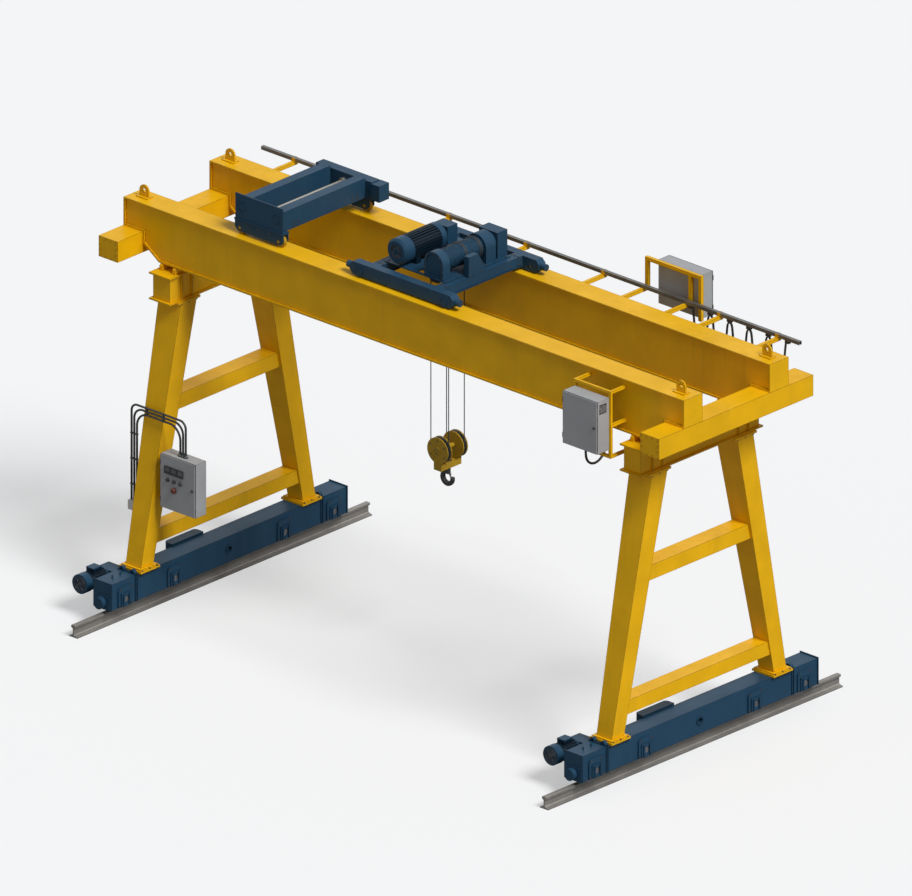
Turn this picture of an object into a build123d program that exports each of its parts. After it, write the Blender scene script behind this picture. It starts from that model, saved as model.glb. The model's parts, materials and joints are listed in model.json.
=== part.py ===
"""Double-girder gantry crane on rails, with hoist crab and auxiliary trolley.

Millimetres. X runs along the girders, Y along the rails, Z up from the rail feet.
"""
import os
from math import atan2, cos, degrees, radians, sin, tan

from build123d import *

os.makedirs("parts", exist_ok=True)

# Driving sizes of the crane
rail_span = 8400
girder_length = 10000
girder_gauge = 1645
portal_rise = 3545
sill_length = 4490
leg_foot_spread = 3100
leg_head_spread = 1640
hook_height = 3000
crab_place = -150
trolley_place = -2700

# Clearances shared by several pieces
overrun = 20
seat_gap = 0.3
pin_gap = 2
run_gap = 12

sides = (-1, 1)
turn_x = (0, 90, 0)
turn_y = (90, 0, 0)


def save(builder, label):
    builder.part.label = label
    export_step(builder.part, f"parts/{label}.step")


def block(x, y, z, mode=Mode.ADD):
    with Locations(((x[0] + x[1]) / 2, (y[0] + y[1]) / 2, (z[0] + z[1]) / 2)):
        Box(abs(x[1] - x[0]), abs(y[1] - y[0]), abs(z[1] - z[0]), mode=mode)


def around(centre, width):
    return (centre - width / 2, centre + width / 2)


def rod(place, radius, length, turn, mode=Mode.ADD):
    with Locations(place):
        Cylinder(radius, length, rotation=turn, mode=mode)


def side_view(x, y, z):
    return Plane(origin=(x, y, z), x_dir=(1, 0, 0), z_dir=(0, -1, 0))


def end_view(x, y, z):
    return Plane(origin=(x, y, z), x_dir=(0, 1, 0), z_dir=(1, 0, 0))


def outline(points):
    Polygon(*points, align=None)


# Rails: a flat-bottomed crane rail under each sill
rail_height, rail_length = 172, 5640
rail_foot, rail_foot_edge, rail_foot_rise = 150, 12, 14
rail_web, rail_head, rail_head_depth, rail_head_slope = 17, 72, 36, 12
rail_crown = 6

with BuildPart() as rails:
    for side in sides:
        with BuildSketch(side_view(side * rail_span / 2, 0, 0)):
            half = [
                (0, 0),
                (rail_foot / 2, 0),
                (rail_foot / 2, rail_foot_edge),
                (rail_web / 2 + rail_foot_rise, rail_foot_edge + rail_foot_rise),
                (rail_web / 2, rail_foot_edge + 2 * rail_foot_rise),
                (rail_web / 2, rail_height - rail_head_depth - rail_head_slope),
                (rail_head / 2, rail_height - rail_head_depth),
                (rail_head / 2, rail_height - rail_crown),
                (rail_head / 2 - rail_crown, rail_height),
                (0, rail_height),
            ]
            outline(half)
            mirror(about=Plane.YZ)
        extrude(amount=rail_length / 2, both=True)
save(rails, "rails")

# Travelling wheels, eight, each on its own axle
wheel_tread, wheel_flange, flange_width = 340, 380, 22
tread_gap_width = 9
tread_width = rail_head + 2 * tread_gap_width
wheel_width = tread_width + 2 * flange_width
axle_radius = 45
wheel_web_depth, wheel_web_rim, wheel_hub = 24, 30, 75
wheel_z = rail_height + wheel_tread / 2 + seat_gap
wheel_outer, wheel_inner = 1995, 1050
wheel_places = (-wheel_outer, -wheel_inner, wheel_inner, wheel_outer)

# Sills: blue box beams that carry the wheels
sill_width, sill_height, sill_low = 300, 370, 65
sill_z = rail_height + sill_low
sill_top = sill_z + sill_height
pocket_width = wheel_width + 2 * run_gap
pocket_length = wheel_flange + 4 * run_gap
pocket_top = wheel_z + wheel_flange / 2 + 2 * run_gap
collar_thick, collar_proud, collar_out = 14, 14, 1775
collar_pitch = 34
ear_radius, ear_bore, ear_across = 42, 14, 95
port_radius, port_proud, port_bore, port_z = 62, 14, 42, 185
pin_radius, pin_height, pin_pitch = 11, 45, 150
end_plate_thick, end_plate_proud = 15, 14
buffer_width, buffer_height, buffer_depth = 190, 190, 75
buffer_back = 14
axle_reach = 24


def wheel(label, x, y):
    with BuildPart() as piece:
        rod((x, y, wheel_z), wheel_tread / 2, wheel_width, turn_x)
        for side in sides:
            place = side * (tread_width + flange_width) / 2
            rod((x + place, y, wheel_z), wheel_flange / 2, flange_width, turn_x)
            face = x + side * (wheel_width - wheel_web_depth) / 2
            with BuildSketch(end_view(face - wheel_web_depth / 2, y, wheel_z)):
                Circle(wheel_tread / 2 - wheel_web_rim)
                Circle(wheel_hub, mode=Mode.SUBTRACT)
            extrude(amount=wheel_web_depth, mode=Mode.SUBTRACT)
        rod((x, y, wheel_z), axle_radius, sill_width + 2 * axle_reach, turn_x)
    save(piece, label)


for side, hand in ((-1, "left"), (1, "right")):
    for number, y in enumerate(wheel_places, 1):
        wheel(f"wheel_{hand}_{number}", side * rail_span / 2, y)

for side, hand in ((-1, "left"), (1, "right")):
    x = side * rail_span / 2
    with BuildPart() as sill:
        block(around(x, sill_width), around(0, sill_length), (sill_z, sill_top))
        for y in wheel_places:
            block(
                around(x, pocket_width), around(y, pocket_length),
                (sill_z - overrun, pocket_top), mode=Mode.SUBTRACT,
            )
            rod((x, y, wheel_z), axle_radius + pin_gap, sill_width + overrun, turn_x,
                mode=Mode.SUBTRACT)
        for end in sides:
            for step in sides:
                y = end * collar_out + step * collar_pitch / 2
                block(
                    around(x, sill_width + 2 * collar_proud), around(y, collar_thick),
                    (sill_z, sill_top + collar_proud),
                )
            with BuildSketch(side_view(x, end * collar_out, 0)):
                for ear in sides:
                    with Locations((ear * ear_across, sill_top + ear_radius / 2)):
                        Circle(ear_radius)
                with Locations((0, sill_top - ear_radius)):
                    Rectangle(sill_width, 2 * ear_radius, mode=Mode.SUBTRACT)
                for ear in sides:
                    with Locations((ear * ear_across, sill_top + ear_radius / 2)):
                        Circle(ear_bore, mode=Mode.SUBTRACT)
            extrude(amount=(collar_pitch + collar_thick) / 2, both=True)
        for face in sides:
            middle = x + face * sill_width / 2
            rod((middle, 0, sill_z + port_z), port_radius, 2 * port_proud, turn_x)
        rod((x, 0, sill_z + port_z), port_bore, sill_width + 4 * port_proud, turn_x,
            mode=Mode.SUBTRACT)
        for step in sides:
            y = -wheel_outer + step * pin_pitch / 2
            rod((x, y, sill_top + pin_height / 2), pin_radius, pin_height, (0, 0, 0))
        for end in sides:
            y = end * (sill_length + end_plate_thick) / 2
            block(
                around(x, sill_width + 2 * end_plate_proud), around(y, end_plate_thick),
                (sill_z, sill_top + end_plate_proud),
            )
    save(sill, f"sill_{hand}")

with BuildPart() as buffers:
    for side in sides:
        for end in sides:
            x = side * rail_span / 2
            plate_y = end * (sill_length / 2 + end_plate_thick)
            z = sill_z + buffer_height / 2
            block(
                around(x, sill_width), (plate_y, plate_y + end * buffer_back),
                (sill_z, sill_z + buffer_height),
            )
            with Locations((x, plate_y + end * (buffer_back + buffer_depth) / 2, z)):
                Cylinder(buffer_height / 2 - buffer_back, buffer_back + buffer_depth,
                         rotation=turn_y)
save(buffers, "buffers")

# Wheel blocks: a bolted bearing plate each side of every wheel
plate_size, plate_thick, plate_corner = 280, 20, 60
raised_size, raised_thick = 190, 14
keeper_width, keeper_length, keeper_thick, keeper_apart = 26, 150, 16, 110
cap_radius, cap_thick = 42, 10
plate_z = sill_z + plate_size / 2 + cap_thick

with BuildPart() as wheel_blocks:
    for side in sides:
        for y in wheel_places:
            for face in sides:
                x = side * rail_span / 2 + face * sill_width / 2
                with BuildSketch(end_view(x, y, plate_z)):
                    Rectangle(plate_size, plate_size)
                    fillet(vertices().group_by(Axis.Y)[-1], plate_corner)
                extrude(amount=face * plate_thick)
                outer = x + face * plate_thick
                block((outer, outer + face * raised_thick),
                      around(y, raised_size), around(wheel_z, raised_size))
                for bar in sides:
                    block(
                        (outer, outer + face * (raised_thick + keeper_thick)),
                        around(y + bar * keeper_apart / 2, keeper_width),
                        around(wheel_z, keeper_length),
                    )
                reach = 2 * (raised_thick + plate_thick)
                rod((x, y, wheel_z), axle_radius + pin_gap, reach, turn_x,
                    mode=Mode.SUBTRACT)
save(wheel_blocks, "wheel_blocks")

# Long rounded boxes on the left face of each sill
side_box_front, side_box_back, side_box_deep = -765, -170, 150
side_box_height, side_box_rise, side_box_round = 240, 30, 55

with BuildPart() as sill_boxes:
    for side in sides:
        x = side * rail_span / 2 - sill_width / 2
        top = sill_top + side_box_rise
        middle = (side_box_front + side_box_back) / 2
        with BuildSketch(Plane.XY.offset(top - side_box_height)):
            with Locations((x - side_box_deep / 2, middle)):
                Rectangle(side_box_deep, side_box_back - side_box_front)
                fillet(vertices().group_by(Axis.X)[0], side_box_round)
        extrude(amount=side_box_height)
save(sill_boxes, "sill_boxes")

# Travel drives: a flange motor and a flat gearbox on each sill's front end
motor_radius, motor_axis_out, motor_axis_drop = 135, 270, 155
motor_axis_z = sill_top - motor_axis_drop
motor_front = -sill_length / 2
cowl_length, motor_body, motor_fins, fin_depth = 120, 300, 20, 12
terminal_width, terminal_length, terminal_height = 130, 150, 60
gear_length, gear_height, gear_thick, gear_off = 220, 270, 65, 66
gear_low, gear_round, gear_hub = 15, 20, 38
spigot_length, spigot_share = 60, 0.6


def fin_ring(plane, radius, depth, count, length):
    with BuildSketch(plane) as ring:
        Circle(radius - depth)
        with PolarLocations(radius - depth / 2, count):
            Rectangle(2 * depth, depth)
    extrude(ring.sketch, amount=length)


with BuildPart() as travel_motors:
    for side in sides:
        x = side * rail_span / 2 - sill_width / 2 - motor_axis_out
        back = Plane(origin=(x, motor_front, motor_axis_z), x_dir=(1, 0, 0),
                     z_dir=(0, 1, 0))
        with BuildSketch(back):
            Circle(motor_radius)
        extrude(amount=cowl_length)
        fin_ring(back.offset(cowl_length), motor_radius - fin_depth, fin_depth,
                 motor_fins, motor_body)
        y = motor_front + cowl_length + motor_body
        rod((x, y + spigot_length / 2, motor_axis_z), motor_radius * spigot_share,
            spigot_length, turn_y)
        z = motor_axis_z + motor_radius - 2 * fin_depth
        block(
            around(x, terminal_width),
            around(motor_front + cowl_length + motor_body / 2, terminal_length),
            (z, z + terminal_height),
        )
save(travel_motors, "travel_motors")

gear_front = motor_front + cowl_length + motor_body + spigot_length
with BuildPart() as travel_gearboxes:
    for side in sides:
        face = side * rail_span / 2 - sill_width / 2
        low = sill_z + gear_low
        with BuildSketch(end_view(face - gear_off, 0, 0)):
            outline([
                (-wheel_outer - raised_size / 2, low),
                (gear_front + gear_length, low),
                (gear_front + gear_length, low + gear_height),
                (gear_front, low + gear_height),
                (-wheel_outer - raised_size / 2, wheel_z + raised_size / 2),
            ])
            fillet(vertices(), gear_round)
        extrude(amount=-gear_thick)
        block(
            (face - gear_off - gear_thick, face - motor_axis_out - motor_radius),
            (gear_front, gear_front + gear_length), (low, low + gear_height),
        )
        hub_end = axle_reach + seat_gap
        rod((face - (gear_off + hub_end) / 2, -wheel_outer, wheel_z), gear_hub,
            gear_off - hub_end, turn_x)
        foot = gear_front + gear_length - gear_thick
        block((face, face - gear_off), (foot, foot + gear_thick), (low, low + gear_height))
save(travel_gearboxes, "travel_gearboxes")

# Portal legs: tapered boxes that lean together, with a two-step foot plate
foot_x, foot_y, foot_thick, foot_step = 390, 370, 30, 20
leg_foot_x, leg_foot_y = 270, 240
leg_head_x, leg_head_y = 395, 305
head_plate_x, head_plate_y, head_plate_thick = 420, 420, 30
leg_z = sill_top + foot_thick + foot_step
head_z = leg_z + portal_rise

with BuildPart() as portal_legs:
    for side in sides:
        for end in sides:
            x = side * rail_span / 2
            y = end * leg_foot_spread / 2
            block(around(x, foot_x), around(y, foot_y), (sill_top, sill_top + foot_thick))
            block(
                around(x, foot_x - 2 * foot_step), around(y, foot_y - 2 * foot_step),
                (sill_top, leg_z),
            )
            with BuildSketch(Plane.XY.offset(leg_z)) as low_end:
                with Locations((x, y)):
                    Rectangle(leg_foot_x, leg_foot_y)
            with BuildSketch(Plane.XY.offset(head_z)) as high_end:
                with Locations((x, end * leg_head_spread / 2)):
                    Rectangle(leg_head_x, leg_head_y)
            loft(sections=[low_end.sketch, high_end.sketch])
            block(
                around(x, head_plate_x), around(end * leg_head_spread / 2, head_plate_y),
                (head_z, head_z + head_plate_thick),
            )
save(portal_legs, "portal_legs")


def leg_inner(z):
    low = leg_foot_spread / 2 - leg_foot_y / 2
    high = leg_head_spread / 2 - leg_head_y / 2
    return low + (high - low) * (z - leg_z) / portal_rise


# Ties between the legs: a mid brace and a lower tie on each portal
brace_up, brace_height, brace_width = 2140, 210, 265
tie_up, tie_height, tie_width = 360, 195, 240
brace_z, tie_z = leg_z + brace_up, leg_z + tie_up

with BuildPart() as portal_ties:
    for side in sides:
        for z, height, width in (
            (brace_z, brace_height, brace_width),
            (tie_z, tie_height, tie_width),
        ):
            low, high = z - height / 2, z + height / 2
            with BuildSketch(end_view(side * rail_span / 2, 0, 0)):
                outline([
                    (-leg_inner(low), low), (leg_inner(low), low),
                    (leg_inner(high), high), (-leg_inner(high), high),
                ])
            extrude(amount=width / 2, both=True)
save(portal_ties, "portal_ties")

# Portal top beams: a box with wide flanges, ribs and cleats for the girders
top_length, top_height, top_flange, top_box, top_plate = 2350, 385, 370, 300, 22
top_inset = 90
rib_thick, rib_apart = 16, 190
cleat_length, cleat_thick, cleat_height, cleat_apart = 400, 50, 85, 230
cleat_corner = 30
top_z = head_z + head_plate_thick
cleat_z = top_z + top_height

with BuildPart() as portal_top_beams:
    for side in sides:
        x = side * rail_span / 2
        for z in (top_z, cleat_z - top_plate):
            block(around(x, top_flange), around(0, top_length), (z, z + top_plate))
        block(
            around(x, top_box), around(0, top_length - top_inset),
            (top_z + top_plate, cleat_z - top_plate),
        )
        for end in sides:
            for step in sides:
                y = end * leg_head_spread / 2 + step * rib_apart / 2
                block(
                    around(x, top_flange - rib_thick), around(y, rib_thick),
                    (top_z + top_plate, cleat_z - top_plate),
                )
                middle = x + step * cleat_apart / 2
                with BuildSketch(end_view(middle, end * girder_gauge / 2, cleat_z)):
                    with Locations((0, cleat_height / 2)):
                        Rectangle(cleat_length, cleat_height)
                    chamfer(vertices().group_by(Axis.Y)[-1], cleat_corner)
                extrude(amount=cleat_thick / 2, both=True)
save(portal_top_beams, "portal_top_beams")

# Main girders: deep boxes with proud flange plates and stepped ends
girder_depth, girder_width, flange_plate, web_inset = 750, 360, 25, 30
end_depth, step_depth, end_reach, slope_reach = 400, 550, 340, 290
girder_z = cleat_z + cleat_height
girder_top = girder_z + girder_depth
beam_top = girder_top - end_depth


def girder_outline():
    end, step = girder_length / 2, girder_length / 2 - end_reach
    low = step - slope_reach
    outline([
        (-end, girder_top), (end, girder_top), (end, beam_top), (step, beam_top),
        (step, girder_top - step_depth), (low, girder_z), (-low, girder_z),
        (-step, girder_top - step_depth), (-step, beam_top), (-end, beam_top),
    ])


for end, name in ((-1, "front"), (1, "rear")):
    with BuildPart() as girder:
        middle = end * girder_gauge / 2
        with BuildSketch(side_view(0, middle, 0)):
            girder_outline()
        extrude(amount=girder_width / 2, both=True)
        for face in sides:
            start = middle + face * (girder_width / 2 - web_inset)
            with BuildSketch(side_view(0, start, 0)):
                girder_outline()
                offset(amount=-flange_plate, kind=Kind.INTERSECTION, mode=Mode.REPLACE)
            extrude(amount=-face * (web_inset + overrun), mode=Mode.SUBTRACT)
    save(girder, f"girder_{name}")

web_face = girder_gauge / 2 + girder_width / 2 - web_inset

# Lifting eyes on the girder ends
eye_in, eye_width, eye_height, eye_thick, eye_bore = 210, 160, 175, 25, 32
eye_base_x, eye_base_y, eye_base_z = 200, 120, 15
with BuildPart() as lifting_eyes:
    for side in sides:
        for end in sides:
            x = side * (girder_length / 2 - eye_in)
            y = end * girder_gauge / 2
            block(around(x, eye_base_x), around(y, eye_base_y),
                  (girder_top, girder_top + eye_base_z))
            crown = girder_top + eye_height - eye_width / 2
            with BuildSketch(side_view(x, y, 0)):
                with Locations((0, crown)):
                    Circle(eye_width / 2)
                with Locations((0, (girder_top + crown) / 2)):
                    Rectangle(eye_width, crown - girder_top)
                with Locations((0, crown)):
                    Circle(eye_bore, mode=Mode.SUBTRACT)
            extrude(amount=eye_thick / 2, both=True)
save(lifting_eyes, "lifting_eyes")

# End beams: cross boxes under the stepped girder ends, with bolted end plates
end_beam_length, end_beam_height = 2950, 295
end_plate, bolt_radius, bolt_head, bolt_edge = 14, 11, 9, 24
lug_in, lug_radius, lug_thick = 190, 45, 20
lug_drop = 30
with BuildPart() as end_beams:
    for side in sides:
        x = side * (girder_length - end_reach) / 2
        z = beam_top - end_beam_height / 2
        block(around(x, end_reach - 2 * end_plate), around(0, end_beam_length),
              around(z, end_beam_height))
        block(around(x, end_reach), around(0, end_beam_length - 2 * end_plate),
              around(z, end_beam_height))
        for end in sides:
            y = end * end_beam_length / 2
            block(around(x, end_reach), (y, y - end * end_plate),
                  around(z, end_beam_height))
            across = (end_reach - 2 * bolt_edge) / 3
            up = (end_beam_height - 2 * bolt_edge) / 3
            for i in range(4):
                for j in range(4):
                    if i in (0, 3) or j in (0, 3):
                        rod((x + (i - 1.5) * across, y + end * bolt_head / 2,
                             z + (j - 1.5) * up), bolt_radius, bolt_head, turn_y)
            low = beam_top - end_beam_height
            with BuildSketch(end_view(x, end * (end_beam_length / 2 - lug_in), 0)):
                with Locations((0, low - lug_drop)):
                    Circle(lug_radius)
                with Locations((0, low - lug_drop / 2)):
                    Rectangle(2 * lug_radius, lug_drop)
                with Locations((0, low - lug_drop)):
                    Circle(lug_radius / 2, mode=Mode.SUBTRACT)
            extrude(amount=lug_thick / 2, both=True)
save(end_beams, "end_beams")

# Crab: side beams with pocketed wheels and two cross beams
crab_length, crab_beam, crab_height, crab_nose = 1840, 130, 180, 55
crab_wheel_radius, crab_wheel_width, crab_wheel_in = 80, 60, 168
crab_axle_radius, crab_low, crab_axle_reach = 25, 25, 14
cross_apart, cross_width, cross_height, cross_plate = 1120, 150, 140, 14
crab_pocket = crab_wheel_width + 2 * run_gap
crab_wheel_z = girder_top + crab_wheel_radius + seat_gap
crab_z = girder_top + crab_low
crab_top = crab_z + crab_height
bumper_radius, bumper_length = 48, 80
axle_cap_radius, axle_cap_thick, axle_cap_bolt = 62, 12, 8
axle_cap_bolts = 6

with BuildPart() as crab_frame:
    for end in sides:
        y = end * girder_gauge / 2
        with BuildSketch(side_view(crab_place, y, 0)):
            half = crab_length / 2
            outline([
                (-half, crab_z + crab_nose), (-half, crab_top - crab_nose),
                (-half + crab_nose, crab_top), (half - crab_nose, crab_top),
                (half, crab_top - crab_nose), (half, crab_z + crab_nose),
                (half - crab_nose, crab_z), (-half + crab_nose, crab_z),
            ])
        extrude(amount=crab_beam / 2, both=True)
        for side in sides:
            x = crab_place + side * (crab_length / 2 - crab_wheel_in)
            block(
                around(x, 2 * crab_wheel_radius + 2 * run_gap), around(y, crab_pocket),
                (crab_z - overrun, crab_wheel_z + crab_wheel_radius + run_gap),
                mode=Mode.SUBTRACT,
            )
            rod((x, y, crab_wheel_z), crab_axle_radius + pin_gap,
                crab_beam + overrun, turn_y, mode=Mode.SUBTRACT)
            cap_y = y + end * crab_beam / 2
            with BuildSketch(side_view(x, cap_y, crab_wheel_z)):
                Circle(axle_cap_radius)
            extrude(amount=-end * axle_cap_thick)
            with BuildSketch(side_view(x, cap_y + end * axle_cap_thick, crab_wheel_z)):
                with PolarLocations(axle_cap_radius - 2 * axle_cap_bolt, axle_cap_bolts):
                    Circle(axle_cap_bolt)
            extrude(amount=-end * axle_cap_bolt)
            nose = crab_place + side * (crab_length + bumper_length) / 2
            rod((nose, y, (crab_z + crab_top) / 2), bumper_radius, bumper_length, turn_x)
    inner = girder_gauge - crab_beam
    for side in sides:
        x = crab_place + side * cross_apart / 2
        block(around(x, cross_width), around(0, inner), (crab_top - cross_height, crab_top))
        block(
            around(x, cross_width + 2 * cross_plate), around(0, inner),
            (crab_top - cross_height, crab_top - cross_height + cross_plate),
        )
save(crab_frame, "crab_frame")

for side, hand in ((-1, "left"), (1, "right")):
    with BuildPart() as crab_wheels:
        x = crab_place + side * (crab_length / 2 - crab_wheel_in)
        for end in sides:
            y = end * girder_gauge / 2
            rod((x, y, crab_wheel_z), crab_wheel_radius, crab_wheel_width, turn_y)
            rod((x, y, crab_wheel_z), crab_axle_radius,
                crab_beam - 2 * crab_axle_reach, turn_y)
    save(crab_wheels, f"crab_wheels_{hand}")

# Hook ropes fall from the drum side and from a fixed equaliser sheave
rope_radius = 8
sheave_apart = 300
sheave_groove = 150
sheave_rim = 178
sheave_width = 46
drum_radius = 150
fall_x = sheave_groove + rope_radius + seat_gap
drum_x = crab_place + fall_x + rope_radius + seat_gap + drum_radius

# Deck plates between the cross beams, open where the ropes pass
deck_thick, deck_lap = 12, 60
deck_out = 620
slot_x, slot_y = 150, 90
deck_top = crab_top + deck_thick
with BuildPart() as crab_deck:
    reach = (cross_apart - cross_width) / 2 + deck_lap
    with BuildSketch(Plane.XY.offset(crab_top)):
        with Locations((crab_place, 0)):
            Rectangle(2 * reach, 2 * deck_out)
        for end in sides:
            with Locations((crab_place + fall_x, end * sheave_apart / 2)):
                Rectangle(slot_x, slot_y, mode=Mode.SUBTRACT)
            with Locations((crab_place + fall_x, end * (deck_out - slot_y))):
                Rectangle(2 * slot_x, slot_y, mode=Mode.SUBTRACT)
        with Locations((crab_place - reach / 2, 0)):
            Rectangle(slot_y, deck_out, mode=Mode.SUBTRACT)
    extrude(amount=deck_thick)
save(crab_deck, "crab_deck")

# Hoist motor: fan cowl, finned body, flange and brake box along Y
hoist_radius, hoist_foot, hoist_aside = 180, 20, 312
hoist_x = crab_place - hoist_aside
hoist_z = deck_top + hoist_foot + hoist_radius
hoist_front, hoist_cowl, hoist_body = -650, 180, 520
hoist_fin, hoist_fins, hoist_edge, hoist_grille = 18, 28, 30, 95
hoist_flange, hoist_neck, hoist_brake = 90, 60, 190
hoist_brake_size, hoist_neck_radius = 250, 120
hoist_pad_x, hoist_pad_y = 300, 90
hoist_pad_share = 0.45
lamp_width, lamp_length, lamp_height = 160, 180, 60

with BuildPart() as hoist_motor:
    front = Plane(origin=(hoist_x, hoist_front, hoist_z), x_dir=(1, 0, 0),
                  z_dir=(0, 1, 0))
    with BuildSketch(front):
        Circle(hoist_radius)
    extrude(amount=hoist_cowl)
    chamfer(edges().filter_by(GeomType.CIRCLE).sort_by(Axis.Y)[0], hoist_edge)
    with BuildSketch(front):
        Circle(hoist_grille)
        Circle(hoist_grille / 2, mode=Mode.SUBTRACT)
    extrude(amount=hoist_edge / 2, mode=Mode.SUBTRACT)
    fin_ring(front.offset(hoist_cowl), hoist_radius - hoist_fin / 2, hoist_fin,
             hoist_fins, hoist_body)
    y = hoist_front + hoist_cowl + hoist_body
    rod((hoist_x, y + hoist_flange / 2, hoist_z), hoist_radius, hoist_flange, turn_y)
    y += hoist_flange
    rod((hoist_x, y + hoist_neck / 2, hoist_z), hoist_neck_radius, hoist_neck, turn_y)
    y += hoist_neck
    block(around(hoist_x, hoist_brake_size), (y, y + hoist_brake),
          around(hoist_z, hoist_brake_size))
    for place in (hoist_front + hoist_cowl + hoist_pad_y,
                  hoist_front + hoist_cowl + hoist_body - hoist_pad_y):
        block(around(hoist_x, hoist_pad_x), around(place, hoist_pad_y),
              (deck_top, hoist_z - hoist_radius * hoist_pad_share))
save(hoist_motor, "hoist_motor")

# Rope drum between an arched front housing and the rear gearcase
drum_rise = 200
drum_z = deck_top + drum_rise
drum_front, drum_length = -460, 660
drum_shaft, drum_shaft_reach = 40, 60
groove_count, groove_depth = 22, 5
arch_radius, arch_depth, arch_panel, arch_edge = 168, 140, 18, 30
rear_radius, rear_depth, rear_neck, rear_box = 175, 190, 40, 190
rear_box_width, rear_box_height = 330, 360

with BuildPart() as hoist_drum:
    end = drum_front + drum_length
    pitch = drum_length / groove_count
    with BuildSketch(side_view(drum_x, drum_front, drum_z)):
        Circle(drum_radius)
    extrude(amount=-drum_length)
    for number in range(groove_count):
        with BuildSketch(side_view(drum_x, drum_front + (number + 0.25) * pitch, drum_z)):
            Circle(drum_radius + groove_depth)
            Circle(drum_radius - groove_depth, mode=Mode.SUBTRACT)
        extrude(amount=-pitch / 2, mode=Mode.SUBTRACT)
    rod((drum_x, (drum_front + end) / 2, drum_z), drum_shaft,
        drum_length + 2 * drum_shaft_reach, turn_y)
save(hoist_drum, "hoist_drum")


def arch(plane, radius, low, length):
    with BuildSketch(plane) as front:
        Circle(radius)
        with Locations((0, (low - drum_z) / 2)):
            Rectangle(2 * radius, drum_z - low)
    extrude(front.sketch, amount=length)


drum_clear = 8
with BuildPart() as hoist_gearcase:
    near = drum_front - drum_clear
    arch(side_view(drum_x, near, drum_z), arch_radius, deck_top, arch_depth)
    with BuildSketch(side_view(drum_x, near - arch_depth, drum_z)):
        Circle(arch_radius - arch_edge)
        with Locations((0, (deck_top + arch_edge - drum_z) / 2)):
            Rectangle(2 * (arch_radius - arch_edge), drum_z - deck_top - arch_edge)
    extrude(amount=-arch_panel, mode=Mode.SUBTRACT)
    rod((drum_x, drum_front, drum_z), drum_shaft + pin_gap,
        2 * drum_shaft_reach + 2 * drum_clear, turn_y, mode=Mode.SUBTRACT)
    far = drum_front + drum_length + drum_clear
    arch(side_view(drum_x, far, drum_z), rear_radius, deck_top, -rear_depth)
    y = far + rear_depth
    rod((drum_x, y + rear_neck / 2, drum_z), rear_radius - arch_edge, rear_neck, turn_y)
    y += rear_neck
    block(around(drum_x, rear_box_width), (y, y + rear_box),
          (deck_top, deck_top + rear_box_height))
    rod((drum_x, drum_front + drum_length, drum_z), drum_shaft + pin_gap,
        2 * drum_shaft_reach + 2 * drum_clear, turn_y, mode=Mode.SUBTRACT)
save(hoist_gearcase, "hoist_gearcase")

# Limit box on the right cross beam and the equaliser sheave under the deck
limit_length, limit_height, limit_width, limit_slope = 295, 290, 84, 110
limit_y = -130
equaliser_drop = 25
equaliser_z = crab_top - sheave_rim - equaliser_drop
cheek_thick, cheek_gap = 14, 6
bracket_width = 120
with BuildPart() as limit_box:
    x = crab_place + cross_apart / 2 + cross_width / 2 - limit_width
    with BuildSketch(end_view(x, limit_y, 0)):
        half = limit_length / 2
        outline([
            (-half, crab_top), (half, crab_top), (half, crab_top + limit_slope),
            (half - limit_slope, crab_top + limit_height),
            (-half, crab_top + limit_height),
        ])
    extrude(amount=limit_width)
save(limit_box, "limit_box")

with BuildPart() as equaliser:
    x = crab_place - fall_x
    radius = sheave_apart / 2 - rope_radius - seat_gap
    rim = radius + sheave_rim - sheave_groove
    with BuildSketch(end_view(x, 0, equaliser_z)):
        Circle(rim)
    extrude(amount=sheave_width / 2, both=True)
    with BuildSketch(end_view(x, 0, equaliser_z)):
        Circle(rim + overrun)
        Circle(radius, mode=Mode.SUBTRACT)
    extrude(amount=rope_radius + pin_gap, both=True, mode=Mode.SUBTRACT)
    rod((x, 0, equaliser_z), drum_shaft, sheave_width + 4 * cheek_thick, turn_x)
    for side in sides:
        plate = x + side * (sheave_width / 2 + cheek_gap + cheek_thick / 2)
        block(around(plate, cheek_thick), around(0, bracket_width),
              (equaliser_z - bracket_width / 2, crab_top))
save(equaliser, "equaliser")

# Ropes: four falls down to the hook block
hook_z = hook_height
with BuildPart() as ropes_drum:
    for end in sides:
        with BuildSketch(Plane.XY.offset(hook_z)):
            with Locations((crab_place + fall_x, end * sheave_apart / 2)):
                Circle(rope_radius)
        extrude(amount=drum_z - hook_z)
save(ropes_drum, "ropes_drum")

with BuildPart() as ropes_equaliser:
    for end in sides:
        with BuildSketch(Plane.XY.offset(hook_z)):
            with Locations((crab_place - fall_x, end * sheave_apart / 2)):
                Circle(rope_radius)
        extrude(amount=equaliser_z - hook_z)
save(ropes_equaliser, "ropes_equaliser")

# Hook block: two sheaves, yellow cheeks, crosshead, swivelling hook with latch
hook_axle, hook_axle_reach = 32, 12
cheek_radius, cheek_plate, block_gap = 183, 16, 6
crosshead_drop, crosshead_height, crosshead_width = 190, 90, 130
nut_radius, nut_height, shank_radius, shank_gap = 52, 40, 30, 1.5
block_half = sheave_apart / 2 + sheave_width / 2 + block_gap + cheek_plate
crosshead_top = hook_z - crosshead_drop
crosshead_low = crosshead_top - crosshead_height

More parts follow.
